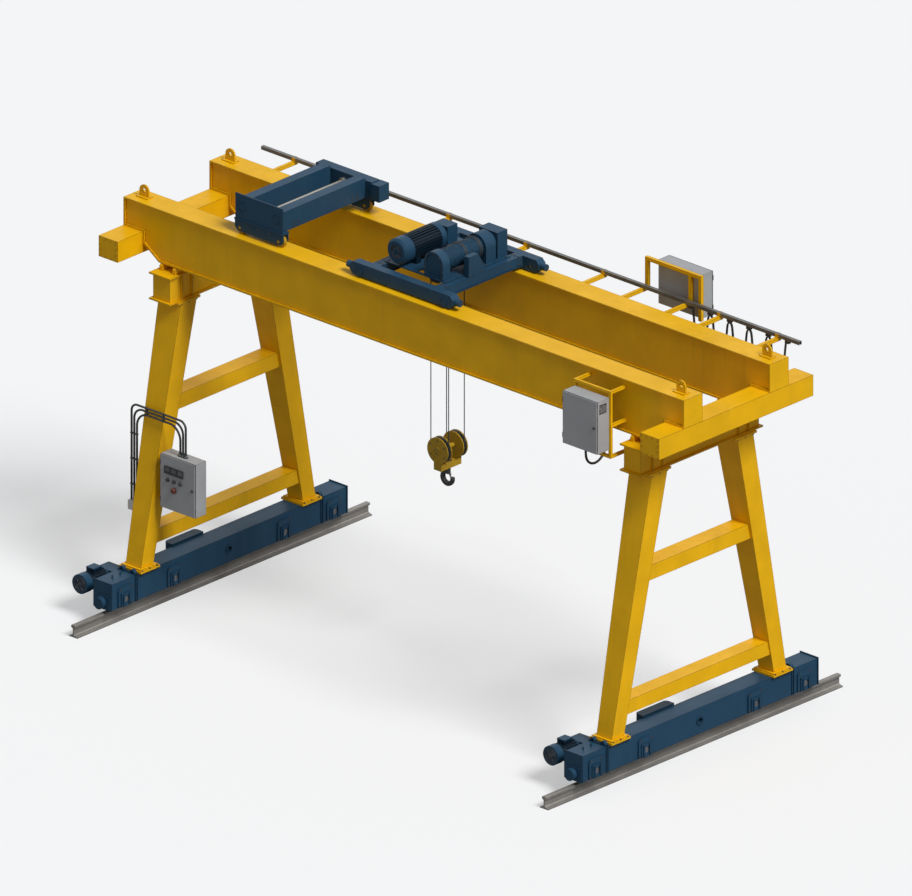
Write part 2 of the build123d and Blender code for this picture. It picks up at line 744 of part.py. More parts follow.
with BuildPart() as hook_sheaves:
    half = sheave_width / 2
    groove = rope_radius + pin_gap
    for end in sides:
        y = end * sheave_apart / 2
        with BuildSketch(Plane(origin=(crab_place, y, hook_z), x_dir=(1, 0, 0),
                               z_dir=(0, 0, 1))):
            outline([
                (hook_axle + pin_gap, -half), (sheave_rim, -half),
                (sheave_groove, -groove), (sheave_groove, groove),
                (sheave_rim, half), (hook_axle + pin_gap, half),
            ])
        revolve(axis=Axis((crab_place, y, hook_z), (0, 1, 0)))
save(hook_sheaves, "hook_sheaves")

with BuildPart() as hook_block:
    for end in sides:
        for step in sides:
            y = end * sheave_apart / 2 + step * (sheave_width + cheek_plate) / 2
            with BuildSketch(side_view(crab_place, y + step * block_gap, 0)):
                with Locations((0, hook_z)):
                    Circle(cheek_radius)
                with Locations((0, (hook_z + crosshead_low) / 2)):
                    Rectangle(crosshead_width, hook_z - crosshead_low)
            extrude(amount=cheek_plate / 2, both=True)
    block(around(crab_place, crosshead_width), around(0, 2 * block_half),
          (crosshead_low, crosshead_top))
    rod((crab_place, 0, hook_z), hook_axle, 2 * (block_half + hook_axle_reach), turn_y)
    rod((crab_place, 0, (crosshead_low + crosshead_top) / 2), shank_radius + shank_gap,
        crosshead_height + overrun, (0, 0, 0), mode=Mode.SUBTRACT)
save(hook_block, "hook_block")

# The hook: a forged bowl with a flat-sided body, its tip rising to the latch
bowl_outer, bowl_inner, bowl_shift, bowl_rise = 115, 58, 6, 8
neck_drop, hook_thick, hook_round = 40, 56, 16
mouth_low, mouth_high = 24, 150
latch_reach, latch_thick, latch_width, latch_eye, latch_rest = 40, 8, 26, 13, 9
bowl_z = crosshead_low - neck_drop - bowl_outer

with BuildPart() as hook:
    with BuildSketch(side_view(crab_place, 0, bowl_z)):
        Circle(bowl_outer)
        with Locations((bowl_shift, bowl_rise)):
            Circle(bowl_inner, mode=Mode.SUBTRACT)
        with BuildLine():
            Polyline((bowl_shift, mouth_low), (bowl_outer + overrun, mouth_low),
                     (bowl_outer + overrun, mouth_high), (bowl_shift, mouth_high),
                     close=True)
        make_face(mode=Mode.SUBTRACT)
        with Locations((0, (bowl_outer + bowl_inner + neck_drop) / 2)):
            Rectangle(2 * shank_radius, bowl_outer - bowl_inner + neck_drop - 2 * pin_gap)
    extrude(amount=hook_thick / 2, both=True)
    fillet(edges().filter_by(GeomType.CIRCLE), hook_round)
    low, high = crosshead_low - 2 * neck_drop, crosshead_top + seat_gap
    rod((crab_place, 0, (low + high) / 2), shank_radius, high - low, (0, 0, 0))
    rod((crab_place, 0, high + nut_height / 2), nut_radius, nut_height, (0, 0, 0))
save(hook, "hook")

latch_x = crab_place + shank_radius + latch_eye + seat_gap
latch_z = bowl_z + bowl_inner + pin_gap
latch_tip_x = crab_place + bowl_shift + bowl_inner - latch_rest
latch_angle = degrees(atan2(latch_tip_x - latch_x, latch_z - bowl_z - mouth_low))
with BuildPart() as hook_latch:
    rod((latch_x, 0, latch_z), latch_eye, latch_width, turn_y)
    with BuildSketch(side_view(latch_x, 0, latch_z)):
        with Locations(Rotation(0, 0, latch_angle)):
            with Locations((0, -latch_reach / 2)):
                Rectangle(latch_thick, latch_reach)
    extrude(amount=latch_width / 2, both=True)
save(hook_latch, "hook_latch")

# Auxiliary trolley: two long beams on four-wheeled bogies over the same girders
trolley_wheel, trolley_wheelbase, trolley_tread, trolley_axle = 85, 690, 50, 22
bogie_length, bogie_height, bogie_thick, bogie_nose = 860, 150, 16, 50
bogie_low = 40
front_plate_x, front_plate_z, front_plate_t, front_ledge = 840, 350, 18, 26
trolley_beam_w, trolley_beam_h, trolley_pitch = 150, 280, 620
rear_beam_x, rear_beam_y, rear_beam_z = 1000, 150, 250
motor_box_x, motor_box_y, motor_box_z = 150, 190, 230
ring_radius, ring_bolt, ring_bolts, ring_proud = 62, 9, 8, 8
screw_radius, screw_nut, screw_nut_length = 20, 42, 50
trolley_wheel_z = girder_top + trolley_wheel + seat_gap
bogie_z = girder_top + bogie_low
bogie_top = bogie_z + bogie_height
trolley_z = bogie_top + front_ledge
bogie_half = trolley_tread / 2 + run_gap + bogie_thick

with BuildPart() as trolley_bogies:
    for end in sides:
        y = end * girder_gauge / 2
        for step in sides:
            plate = y + step * (bogie_half - bogie_thick / 2)
            with BuildSketch(side_view(trolley_place, plate, bogie_z)):
                half = bogie_length / 2
                outline([
                    (-half, bogie_nose), (-half, bogie_height), (half, bogie_height),
                    (half, bogie_nose), (half - bogie_nose, 0), (-half + bogie_nose, 0),
                ])
                for side in sides:
                    with Locations((side * trolley_wheelbase / 2,
                                    trolley_wheel_z - bogie_z)):
                        Circle(trolley_axle + pin_gap, mode=Mode.SUBTRACT)
            extrude(amount=bogie_thick / 2, both=True)
        block(around(trolley_place, bogie_length), around(y, 2 * bogie_half + 2 * run_gap),
              (bogie_top, bogie_top + front_ledge))
        block(around(trolley_place, trolley_wheelbase / 2), around(y, 2 * bogie_half),
              (bogie_z + bogie_nose, bogie_top))
save(trolley_bogies, "trolley_bogies")

for side, hand in ((-1, "left"), (1, "right")):
    with BuildPart() as trolley_wheels:
        x = trolley_place + side * trolley_wheelbase / 2
        for end in sides:
            y = end * girder_gauge / 2
            rod((x, y, trolley_wheel_z), trolley_wheel, trolley_tread, turn_y)
            rod((x, y, trolley_wheel_z), trolley_axle, 2 * bogie_half, turn_y)
    save(trolley_wheels, f"trolley_wheels_{hand}")

beam_front = -girder_gauge / 2 - bogie_half
with BuildPart() as trolley_frame:
    block(around(trolley_place, front_plate_x), (beam_front, beam_front + front_plate_t),
          (trolley_z, trolley_z + front_plate_z))
    rear = girder_gauge / 2 - rear_beam_y / 2
    for side in sides:
        x = trolley_place + side * trolley_pitch / 2
        block(around(x, trolley_beam_w), (beam_front + front_plate_t, rear),
              (trolley_z, trolley_z + trolley_beam_h))
        ring_z = trolley_z + front_plate_z / 2
        with BuildSketch(side_view(x, beam_front, ring_z)):
            with PolarLocations(ring_radius, ring_bolts):
                Circle(ring_bolt)
        extrude(amount=ring_proud)
    block(around(trolley_place, rear_beam_x), (rear, rear + rear_beam_y),
          (trolley_z, trolley_z + rear_beam_z))
    x = trolley_place + rear_beam_x / 2
    block((x, x + motor_box_x), around(rear + rear_beam_y / 2, motor_box_y),
          around(trolley_z + rear_beam_z / 2, motor_box_z))
save(trolley_frame, "trolley_frame")

with BuildPart() as trolley_screw:
    z = trolley_z + trolley_beam_h / 2
    start = beam_front + front_plate_t
    rod((trolley_place, (start + rear) / 2, z), screw_radius, rear - start, turn_y)
    rod((trolley_place, rear - screw_nut_length / 2, z), screw_nut, screw_nut_length,
        turn_y)
save(trolley_screw, "trolley_screw")

# Front cabinet on a tube frame hung from the front girder
frame_tube, front_frame_in, front_frame_width, front_frame_height = 40, 900, 625, 950
front_frame_x = rail_span / 2 - front_frame_in
front_frame_out, front_frame_drop, front_frame_middle = 280, 97, 160
front_frame_top = girder_top - front_frame_drop
front_frame_low = front_frame_top - front_frame_height
front_frame_mid = girder_z + front_frame_middle
cabinet_width, cabinet_height, cabinet_depth, cabinet_door = 610, 740, 240, 22
cabinet_lift, door_lip, knob_radius, knob_in, knob_proud = 120, 6, 14, 45, 16
vent_size, vent_deep, vent_slats = 120, 8, 6
gland_radius, gland_height = 20, 34
frame_y = -web_face - front_frame_out

with BuildPart() as cabinet_front_frame:
    ends = (front_frame_x, front_frame_x + front_frame_width)
    for x in ends:
        block(around(x, frame_tube), around(frame_y, frame_tube),
              (front_frame_low, front_frame_top))
        for z in (front_frame_low + frame_tube / 2, front_frame_mid,
                  front_frame_top - frame_tube / 2):
            block(around(x, frame_tube), (frame_y, -web_face), around(z, frame_tube))
    for z in (front_frame_low, front_frame_top - frame_tube):
        block(ends, around(frame_y, frame_tube), (z, z + frame_tube))
save(cabinet_front_frame, "cabinet_front_frame")


def enclosure(x, y, z, width, height, depth):
    """A wall cabinet whose door faces -Y; y is the plane of its back."""
    block(around(x, width), (y, y - depth + cabinet_door), (z, z + height))
    block(around(x, width - 2 * door_lip), (y, y - depth),
          (z + door_lip, z + height - door_lip))
    knob = x + width / 2 - knob_in
    rod((knob, y - depth - knob_proud / 2, z + height / 2), knob_radius, knob_proud,
        turn_y)


cabinet_x = front_frame_x + front_frame_width / 2
cabinet_y = frame_y - frame_tube / 2
cabinet_z = front_frame_low + cabinet_lift
with BuildPart() as cabinet_front:
    enclosure(cabinet_x, cabinet_y, cabinet_z, cabinet_width, cabinet_height,
              cabinet_depth)
    face = cabinet_x + cabinet_width / 2
    middle = cabinet_y - cabinet_depth / 2
    top = cabinet_z + cabinet_height - vent_size
    pitch = vent_size / vent_slats
    for number in range(vent_slats):
        block((face - vent_deep, face + overrun), around(middle, vent_size),
              around(top + (number - vent_slats / 2 + 0.5) * pitch, pitch / 2),
              mode=Mode.SUBTRACT)
    for place in (-2, 0, 2):
        rod((cabinet_x + place * gland_radius, middle, cabinet_z - gland_height / 2),
            gland_radius - pin_gap, gland_height, (0, 0, 0))
save(cabinet_front, "cabinet_front")

# Rear cabinet on a cranked tube frame behind the rear girder
rear_arm_in, rear_arm_apart, rear_arm_out = 2240, 770, 560
rear_arm_right = girder_length / 2 - rear_arm_in
rear_arm_left = rear_arm_right - rear_arm_apart
rear_tube, rear_upright, rear_bar_end, rear_right_length = 50, 415, 180, 640
rear_cabinet_width, rear_cabinet_height, rear_cabinet_depth = 780, 620, 215
rear_arm_z = girder_top - flange_plate - rear_tube
rear_y = web_face + rear_arm_out
rear_bar_z = rear_arm_z + rear_upright

with BuildPart() as cabinet_rear_frame:
    for x in (rear_arm_left, rear_arm_right):
        block(around(x, rear_tube), (web_face, rear_y + rear_tube / 2),
              (rear_arm_z, rear_arm_z + rear_tube))
        block(around(x, rear_tube), around(rear_y, rear_tube),
              (rear_arm_z, rear_bar_z + rear_tube))
    last = rear_arm_right + rear_bar_end
    block((rear_arm_left, last), around(rear_y, rear_tube),
          (rear_bar_z, rear_bar_z + rear_tube))
    block(around(last, rear_tube), around(rear_y, rear_tube),
          (rear_bar_z + rear_tube - rear_right_length, rear_bar_z + rear_tube))
save(cabinet_rear_frame, "cabinet_rear_frame")

rear_cabinet_x = rear_arm_right + rear_bar_end - rear_cabinet_width / 2
rear_cabinet_z = rear_bar_z + rear_tube - rear_cabinet_height
with BuildPart() as cabinet_rear:
    back = rear_y + rear_tube / 2
    far = back + rear_cabinet_depth
    block(around(rear_cabinet_x, rear_cabinet_width), (back, far - cabinet_door),
          (rear_cabinet_z, rear_cabinet_z + rear_cabinet_height))
    block(around(rear_cabinet_x, rear_cabinet_width - 2 * door_lip), (back, far),
          (rear_cabinet_z + door_lip, rear_cabinet_z + rear_cabinet_height - door_lip))
    rod((rear_cabinet_x - rear_cabinet_width / 2 + knob_in, far + knob_proud / 2,
         rear_cabinet_z + rear_cabinet_height / 2), knob_radius, knob_proud, turn_y)
save(cabinet_rear, "cabinet_rear")

# Festoon: a C-rail on arms behind the rear girder, with hangers and a flat cable
festoon_short, festoon_size, festoon_wall, festoon_slot = 200, 50, 5, 18
festoon_length = girder_length - 2 * festoon_short
festoon_out, festoon_arm = 470, 50
festoon_y = web_face + festoon_out
festoon_in, festoon_pitch, festoon_loops = 2150, 345, 5
festoon_first = girder_length / 2 - festoon_in
hanger_width, hanger_across, hanger_drop = 70, 46, 40
clamp_width, clamp_proud = 60, 8
festoon_z = girder_top - flange_plate + festoon_size / 2

# Arms stand between hangers: every fourth pitch to the rail's far end, two by the loops
arm_step, arm_near, arm_loops = 4, 5, (1, 4)
arm_far = int((festoon_first + festoon_length / 2) / festoon_pitch)
arm_steps = [-step for step in range(arm_near, arm_far + 1, arm_step)][::-1]
arm_places = [
    festoon_first + (0.5 + step) * festoon_pitch for step in (*arm_steps, *arm_loops)
]
with BuildPart() as festoon_rail:
    with BuildSketch(end_view(0, festoon_y, festoon_z)):
        Rectangle(festoon_size, festoon_size)
        Rectangle(festoon_size - 2 * festoon_wall, festoon_size - 2 * festoon_wall,
                  mode=Mode.SUBTRACT)
        with Locations((0, -festoon_size / 2)):
            Rectangle(festoon_slot, 2 * festoon_wall + pin_gap, mode=Mode.SUBTRACT)
    extrude(amount=festoon_length / 2, both=True)
save(festoon_rail, "festoon_rail")

with BuildPart() as festoon_arms:
    low = festoon_z - festoon_size / 2
    for x in arm_places:
        block(around(x, festoon_arm),
              (web_face, festoon_y + festoon_size / 2 + clamp_proud),
              (low - festoon_arm, low))
        for step in sides:
            y = festoon_y + step * festoon_size / 2
            block(around(x, clamp_width), (y, y + step * clamp_proud),
                  (low - clamp_proud, low + festoon_size))
save(festoon_arms, "festoon_arms")

cable_thick, cable_width = 14, 36
with BuildPart() as festoon_hangers:
    for number in range(festoon_loops + 1):
        x = festoon_first + number * festoon_pitch
        block(around(x, hanger_width), around(festoon_y, hanger_across),
              (low - hanger_drop, low - seat_gap))
save(festoon_hangers, "festoon_hangers")

# The flat cable hangs in loops between the hangers
loop_depth = 720
loop_shares = (
    (0.10, 0), (0.155, -0.20), (0.20, -0.46), (0.255, -0.70), (0.33, -0.87),
    (0.41, -0.965), (0.59, -0.965), (0.67, -0.87), (0.745, -0.70), (0.80, -0.46),
    (0.845, -0.20), (0.90, 0),
)


def bend_radii(points):
    """For each corner 0.45 of the shorter run over the tangent of half the turn."""
    radii = []
    for before, here, after in zip(points, points[1:], points[2:]):
        one = Vector(*here) - Vector(*before)
        two = Vector(*after) - Vector(*here)
        half_turn = radians(one.get_angle(two)) / 2
        radii.append(0.45 * min(one.length, two.length) / tan(half_turn))
    return radii


cable_top = low - hanger_drop - cable_thick / 2
festoon_points = []
for number in range(festoon_loops):
    for along, down in loop_shares:
        festoon_points.append((festoon_first + (number + along) * festoon_pitch,
                               cable_top + down * loop_depth))

with BuildPart() as festoon_cable:
    with BuildLine(side_view(0, festoon_y, 0)) as route:
        FilletPolyline(*festoon_points, radius=bend_radii(festoon_points))
    start = Plane(origin=route.wire() @ 0, x_dir=(0, 1, 0), z_dir=route.wire() % 0)
    with BuildSketch(start):
        Rectangle(cable_width, cable_thick)
    sweep(path=route.wire())
save(festoon_cable, "festoon_cable")
print("festoon radii", [round(r) for r in bend_radii(festoon_points)])
print("festoon volume", round(festoon_cable.part.volume),
      round(route.wire().length * cable_width * cable_thick))

# Cabinet cable: a black loop from the front cabinet's gland to the girder
supply_radius, supply_gland, supply_gland_length = 17, 26, 40
supply_y = cabinet_y - cabinet_depth / 2
supply_z = cabinet_z - gland_height
girder_gland_y = -girder_gauge / 2 - girder_width / 2 + 2 * supply_gland
supply_points = [
    (supply_y, supply_z), (supply_y, supply_z - 90), (supply_y + 22, supply_z - 165),
    (supply_y + 75, supply_z - 225), (supply_y + 150, supply_z - 255),
    (supply_y + 235, supply_z - 250), (supply_y + 315, supply_z - 205),
    (supply_y + 370, supply_z - 135), (supply_y + 395, supply_z - 45),
    (girder_gland_y, supply_z + 60), (girder_gland_y, girder_z - supply_gland_length),
]
with BuildPart() as cabinet_cable:
    with BuildLine(end_view(cabinet_x, 0, 0)) as route:
        FilletPolyline(*supply_points, radius=bend_radii(supply_points))
    with BuildSketch(Plane(origin=route.wire() @ 0, z_dir=route.wire() % 0)):
        Circle(supply_radius)
    sweep(path=route.wire())
save(cabinet_cable, "cabinet_cable")
print("supply radii", [round(r) for r in bend_radii(supply_points)])

with BuildPart() as girder_gland:
    rod((cabinet_x, girder_gland_y, girder_z - supply_gland_length / 2), supply_gland,
        supply_gland_length, (0, 0, 0))
save(girder_gland, "girder_gland")

# Operator panel beside the front left leg, on two flat brackets
panel_width, panel_height, panel_depth, panel_z, panel_gap = 617, 755, 220, 1500, 60
meter_size, meter_proud, meter_up, meter_pitch = 98, 14, 560, 112
button_radius, button_proud, button_up = 22, 22, 420
stop_radius, stop_proud, stop_up = 34, 34, 300
bracket_height, bracket_thick, bracket_in = 60, 12, 110
conduit_radius, conduit_pitch, conduit_rise, conduit_bend = 15, 48, 415, 150
conduit_run, conduit_drop, conduit_gland, conduit_gland_height = 870, 1316, 21, 40
plug_size, plug_deep, plug_height, dock_height, dock_thick = 150, 90, 130, 60, 24


def leg_middle(z):
    return leg_foot_spread / 2 + (leg_head_spread - leg_foot_spread) / 2 * (
        z - leg_z) / portal_rise


def leg_half_x(z):
    return (leg_foot_x + (leg_head_x - leg_foot_x) * (z - leg_z) / portal_rise) / 2


panel_top = panel_z + panel_height
panel_left = -rail_span / 2 + leg_head_x / 2 + panel_gap
panel_x = panel_left + panel_width / 2
conduit_top = panel_top + conduit_gland_height + conduit_rise
conduit_y = -leg_middle(conduit_top) - leg_head_y / 2 - 3 * conduit_radius
panel_back = conduit_y + panel_depth / 2
panel_front = panel_back - panel_depth

with BuildPart() as operator_panel:
    enclosure(panel_x, panel_back, panel_z, panel_width, panel_height, panel_depth)
    for place in (-1, 0, 1):
        x = panel_x + (place - 0.5) * meter_pitch
        block(around(x, meter_size), (panel_front, panel_front - meter_proud),
              around(panel_z + meter_up, meter_size))
        rod((x, panel_front - button_proud / 2, panel_z + button_up), button_radius,
            button_proud, turn_y)
    rod((panel_x - meter_pitch / 2, panel_front - stop_proud / 2, panel_z + stop_up),
        stop_radius, stop_proud, turn_y)
    for place in (-1, 0, 1):
        rod((panel_x + place * conduit_pitch, panel_back - panel_depth / 2,
             panel_top + conduit_gland_height / 2), conduit_gland,
            conduit_gland_height, (0, 0, 0))
save(operator_panel, "operator_panel")

with BuildPart() as panel_brackets:
    for z in (panel_z + bracket_in, panel_top - bracket_in):
        low, high = z - bracket_height / 2, z + bracket_height / 2
        with BuildSketch(side_view(0, conduit_y, 0)):
            outline([
                (-rail_span / 2 + leg_half_x(low), low), (panel_left, low),
                (panel_left, high), (-rail_span / 2 + leg_half_x(high), high),
            ])
        extrude(amount=bracket_thick, both=True)
    low = conduit_top - conduit_drop - plug_height / 2 - dock_height / 2
    high = low + dock_height
    edge = panel_x - conduit_run + plug_size / 2
    with BuildSketch(side_view(0, -leg_middle(low), 0)):
        outline([
            (edge, low), (-rail_span / 2 - leg_half_x(low), low),
            (-rail_span / 2 - leg_half_x(high), high), (edge, high),
        ])
    extrude(amount=dock_thick / 2, both=True)
save(panel_brackets, "panel_brackets")

# Rigid conduits: up from the panel, across the leg's front and down its outer side
with BuildPart() as panel_conduits:
    for place in (-1, 0, 1):
        step = place * conduit_pitch
        x = panel_x + step
        start = (x, conduit_y, panel_top + conduit_gland_height)
        far_x = panel_x - conduit_run - step
        high = conduit_top + step
        corner = [
            start, (x, conduit_y, high), (far_x, conduit_y, high),
            (far_x, conduit_y, conduit_top - conduit_drop),
        ]
        with BuildLine(Plane.XY) as route:
            FilletPolyline(*corner, radius=conduit_bend - step)
        with BuildSketch(Plane(origin=start, z_dir=(0, 0, 1))):
            Circle(conduit_radius)
        sweep(path=route.wire())
save(panel_conduits, "panel_conduits")

# Plug at the conduits' lower ends, docked on a bracket off the leg's outer face
plug_x = panel_x - conduit_run
plug_top = conduit_top - conduit_drop
with BuildPart() as panel_plug:
    block(around(plug_x, plug_size), (conduit_y - plug_deep / 2, conduit_y + plug_deep / 2),
          (plug_top - plug_height, plug_top))
save(panel_plug, "panel_plug")
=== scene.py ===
import bpy, bmesh, json, math
from mathutils import Vector, Matrix


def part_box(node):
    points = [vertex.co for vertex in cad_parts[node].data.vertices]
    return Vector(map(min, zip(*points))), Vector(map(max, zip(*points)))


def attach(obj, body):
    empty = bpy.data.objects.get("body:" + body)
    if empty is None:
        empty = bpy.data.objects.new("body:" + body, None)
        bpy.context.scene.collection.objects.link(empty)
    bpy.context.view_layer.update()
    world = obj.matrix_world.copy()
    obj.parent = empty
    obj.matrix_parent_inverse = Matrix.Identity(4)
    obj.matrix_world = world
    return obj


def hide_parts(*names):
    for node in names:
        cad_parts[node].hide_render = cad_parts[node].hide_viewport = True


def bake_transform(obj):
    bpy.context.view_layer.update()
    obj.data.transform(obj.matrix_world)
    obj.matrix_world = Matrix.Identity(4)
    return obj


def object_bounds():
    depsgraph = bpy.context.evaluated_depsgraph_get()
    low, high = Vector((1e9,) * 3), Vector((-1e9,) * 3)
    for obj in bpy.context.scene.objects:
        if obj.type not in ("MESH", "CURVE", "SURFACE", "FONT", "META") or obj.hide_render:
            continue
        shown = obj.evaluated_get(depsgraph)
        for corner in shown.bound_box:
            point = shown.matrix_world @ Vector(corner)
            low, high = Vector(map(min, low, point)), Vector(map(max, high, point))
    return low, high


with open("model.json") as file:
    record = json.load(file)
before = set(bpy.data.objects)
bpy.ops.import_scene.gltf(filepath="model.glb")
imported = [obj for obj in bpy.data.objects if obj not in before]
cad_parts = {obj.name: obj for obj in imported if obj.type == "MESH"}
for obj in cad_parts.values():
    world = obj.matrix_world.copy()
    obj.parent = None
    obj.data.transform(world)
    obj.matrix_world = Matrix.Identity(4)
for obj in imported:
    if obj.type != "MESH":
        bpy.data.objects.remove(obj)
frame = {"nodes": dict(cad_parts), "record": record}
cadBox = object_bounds()
print("frame loaded", [round(v, 3) for corner in cadBox for v in corner])


def mid(node):
    low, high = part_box(node)
    return (Vector(low) + Vector(high)) / 2


def linkObject(name, data):
    obj = bpy.data.objects.new(name, data)
    bpy.context.scene.collection.objects.link(obj)
    return obj


# camera, light and floor

view = {"azimuth": 43.0, "elevation": 23.0, "width": 11.9, "distance": 30.0, "farClip": 120}


def addCamera():
    data = bpy.data.cameras.new("camera")
    data.type = "ORTHO"
    data.ortho_scale = view["width"]
    data.clip_end = view["farClip"]
    camera = linkObject("camera", data)
    bpy.context.scene.camera = camera
    a, e = math.radians(view["azimuth"]), math.radians(view["elevation"])
    look = Vector((-math.sin(a) * math.cos(e), math.cos(a) * math.cos(e), -math.sin(e)))
    target = (Vector(cadBox[0]) + Vector(cadBox[1])) / 2
    camera.location = target - look * view["distance"]
    camera.rotation_euler = look.to_track_quat("-Z", "Y").to_euler()


studio = {
    # each sun: strength, angle in degrees, direction
    "keySun": (2.85, 22, (-0.80, 0.06, -0.95)),
    "fillSun": (0.06, 40, (0.35, 0.85, -0.30)),
    "sky": 0.26, "skyColor": (0.92, 0.95, 1.0),
    "floor": (0.50, 0.503, 0.505), "floorSize": 60.0, "floorDrop": 0.002, "floorRough": 0.9,
    "glow": 0.44, "glowColor": (0.99, 0.995, 1.0), "bounce": 0.29,
}


def addSun(name):
    strength, angle, direction = studio[name]
    data = bpy.data.lights.new(name, "SUN")
    data.energy = strength
    data.angle = math.radians(angle)
    lamp = linkObject(name, data)
    lamp.rotation_euler = Vector(direction).to_track_quat("-Z", "Y").to_euler()


def addWorld():
    # soft light on the crane, white behind it and in its reflections
    world = bpy.data.worlds.new("world")
    bpy.context.scene.world = world
    world.use_nodes = True
    nodes, links = world.node_tree.nodes, world.node_tree.links
    nodes.clear()
    out = nodes.new("ShaderNodeOutputWorld")
    soft = nodes.new("ShaderNodeBackground")
    white = nodes.new("ShaderNodeBackground")
    soft.inputs["Color"].default_value = (*studio["skyColor"], 1)
    soft.inputs["Strength"].default_value = studio["sky"]
    white.inputs["Color"].default_value = (1, 1, 1, 1)
    path = nodes.new("ShaderNodeLightPath")
    seen = nodes.new("ShaderNodeMath")
    seen.operation = "MAXIMUM"
    mix = nodes.new("ShaderNodeMixShader")
    links.new(path.outputs["Is Camera Ray"], seen.inputs[0])
    links.new(path.outputs["Is Glossy Ray"], seen.inputs[1])
    links.new(seen.outputs[0], mix.inputs["Fac"])
    links.new(soft.outputs[0], mix.inputs[1])
    links.new(white.outputs[0], mix.inputs[2])
    links.new(mix.outputs[0], out.inputs["Surface"])


def addFloor():
    mesh = bpy.data.meshes.new("floor")
    s = studio["floorSize"]
    mesh.from_pydata([(-s, -s, 0), (s, -s, 0), (s, s, 0), (-s, s, 0)], [], [(0, 1, 2, 3)])
    floor = linkObject("floor", mesh)
    floor.location.z = -studio["floorDrop"]
    material = bpy.data.materials.new("floorPale")
    material.use_nodes = True
    tree = material.node_tree
    shade = tree.nodes["Principled BSDF"]
    # a faint glow, for the camera alone, keeps the floor pale where the crane shades it
    rays = tree.nodes.new("ShaderNodeLightPath")
    tone = tree.nodes.new("ShaderNodeMix")
    tone.data_type = "RGBA"
    tone.inputs[6].default_value = (*(studio["bounce"],) * 3, 1)
    tone.inputs[7].default_value = (*studio["floor"], 1)
    tree.links.new(rays.outputs["Is Camera Ray"], tone.inputs[0])
    tree.links.new(tone.outputs[2], shade.inputs["Base Color"])
    glow = tree.nodes.new("ShaderNodeMath")
    glow.operation = "MULTIPLY"
    glow.inputs[1].default_value = studio["glow"]
    tree.links.new(rays.outputs["Is Camera Ray"], glow.inputs[0])
    tree.links.new(glow.outputs[0], shade.inputs["Emission Strength"])
    shade.inputs["Emission Color"].default_value = (*studio["glowColor"], 1)
    shade.inputs["Roughness"].default_value = studio["floorRough"]
    shade.inputs["Specular IOR Level"].default_value = 0.0
    mesh.materials.append(material)


addCamera()
addSun("keySun")
addSun("fillSun")
addWorld()
addFloor()
bpy.context.scene.view_settings.view_transform = "Standard"
print("camera and studio ready")


# shader groups shared by several finishes

def newGroup(name, sockets, outs):
    tree = bpy.data.node_groups.new(name, "ShaderNodeTree")
    for label, kind, value in sockets:
        socket = tree.interface.new_socket(label, in_out="INPUT", socket_type=kind)
        socket.default_value = value
    for label, kind in outs:
        tree.interface.new_socket(label, in_out="OUTPUT", socket_type=kind)
    start = tree.nodes.new("NodeGroupInput")
    end = tree.nodes.new("NodeGroupOutput")
    return tree, start, end


def math2(tree, operation, a, b, clamp=False):
    node = tree.nodes.new("ShaderNodeMath")
    node.operation = operation
    node.use_clamp = clamp
    for socket, value in zip(node.inputs, (a, b)):
        if isinstance(value, (int, float)):
            socket.default_value = value
        else:
            tree.links.new(value, socket)
    return node.outputs[0]


def objectCoords(tree, stretch=(1, 1, 1)):
    coord = tree.nodes.new("ShaderNodeTexCoord")
    mapping = tree.nodes.new("ShaderNodeMapping")
    mapping.inputs["Scale"].default_value = stretch
    tree.links.new(coord.outputs["Object"], mapping.inputs["Vector"])
    return mapping.outputs[0]


def noise(tree, vector, scale, detail, rough=0.55):
    node = tree.nodes.new("ShaderNodeTexNoise")
    node.inputs["Detail"].default_value = detail
    node.inputs["Roughness"].default_value = rough
    if isinstance(scale, (int, float)):
        node.inputs["Scale"].default_value = scale
    else:
        tree.links.new(scale, node.inputs["Scale"])
    tree.links.new(vector, node.inputs["Vector"])
    return node.outputs["Fac"]


def ramp(tree, value, low, high):
    node = tree.nodes.new("ShaderNodeMapRange")
    node.clamp = True
    node.inputs["From Min"].default_value = low
    node.inputs["From Max"].default_value = high
    tree.links.new(value, node.inputs["Value"])
    return node.outputs["Result"]


def mixColor(tree, fac, a, b):
    node = tree.nodes.new("ShaderNodeMix")
    node.data_type = "RGBA"
    tree.links.new(fac, node.inputs[0])
    for socket, value in ((node.inputs[6], a), (node.inputs[7], b)):
        if isinstance(value, tuple):
            socket.default_value = (*value, 1)
        else:
            tree.links.new(value, socket)
    return node.outputs[2]


# a noise is its scale and detail, and a pair of limits is where a ramp starts and ends
edgeForm = {"samples": 4, "turn": (0.995, 0.86), "patchNoise": (9.0, 4), "patch": (0.35, 0.65)}
streakForm = {"stretch": (1, 1, 0.06), "lineDetail": 4, "lines": (0.5, 0.75),
              "cloudNoise": (0.9, 2), "clouds": (0.4, 0.7)}
grainForm = {"detail": 2, "cloudNoise": (2.3, 3), "cloud": (0.3, 0.7)}


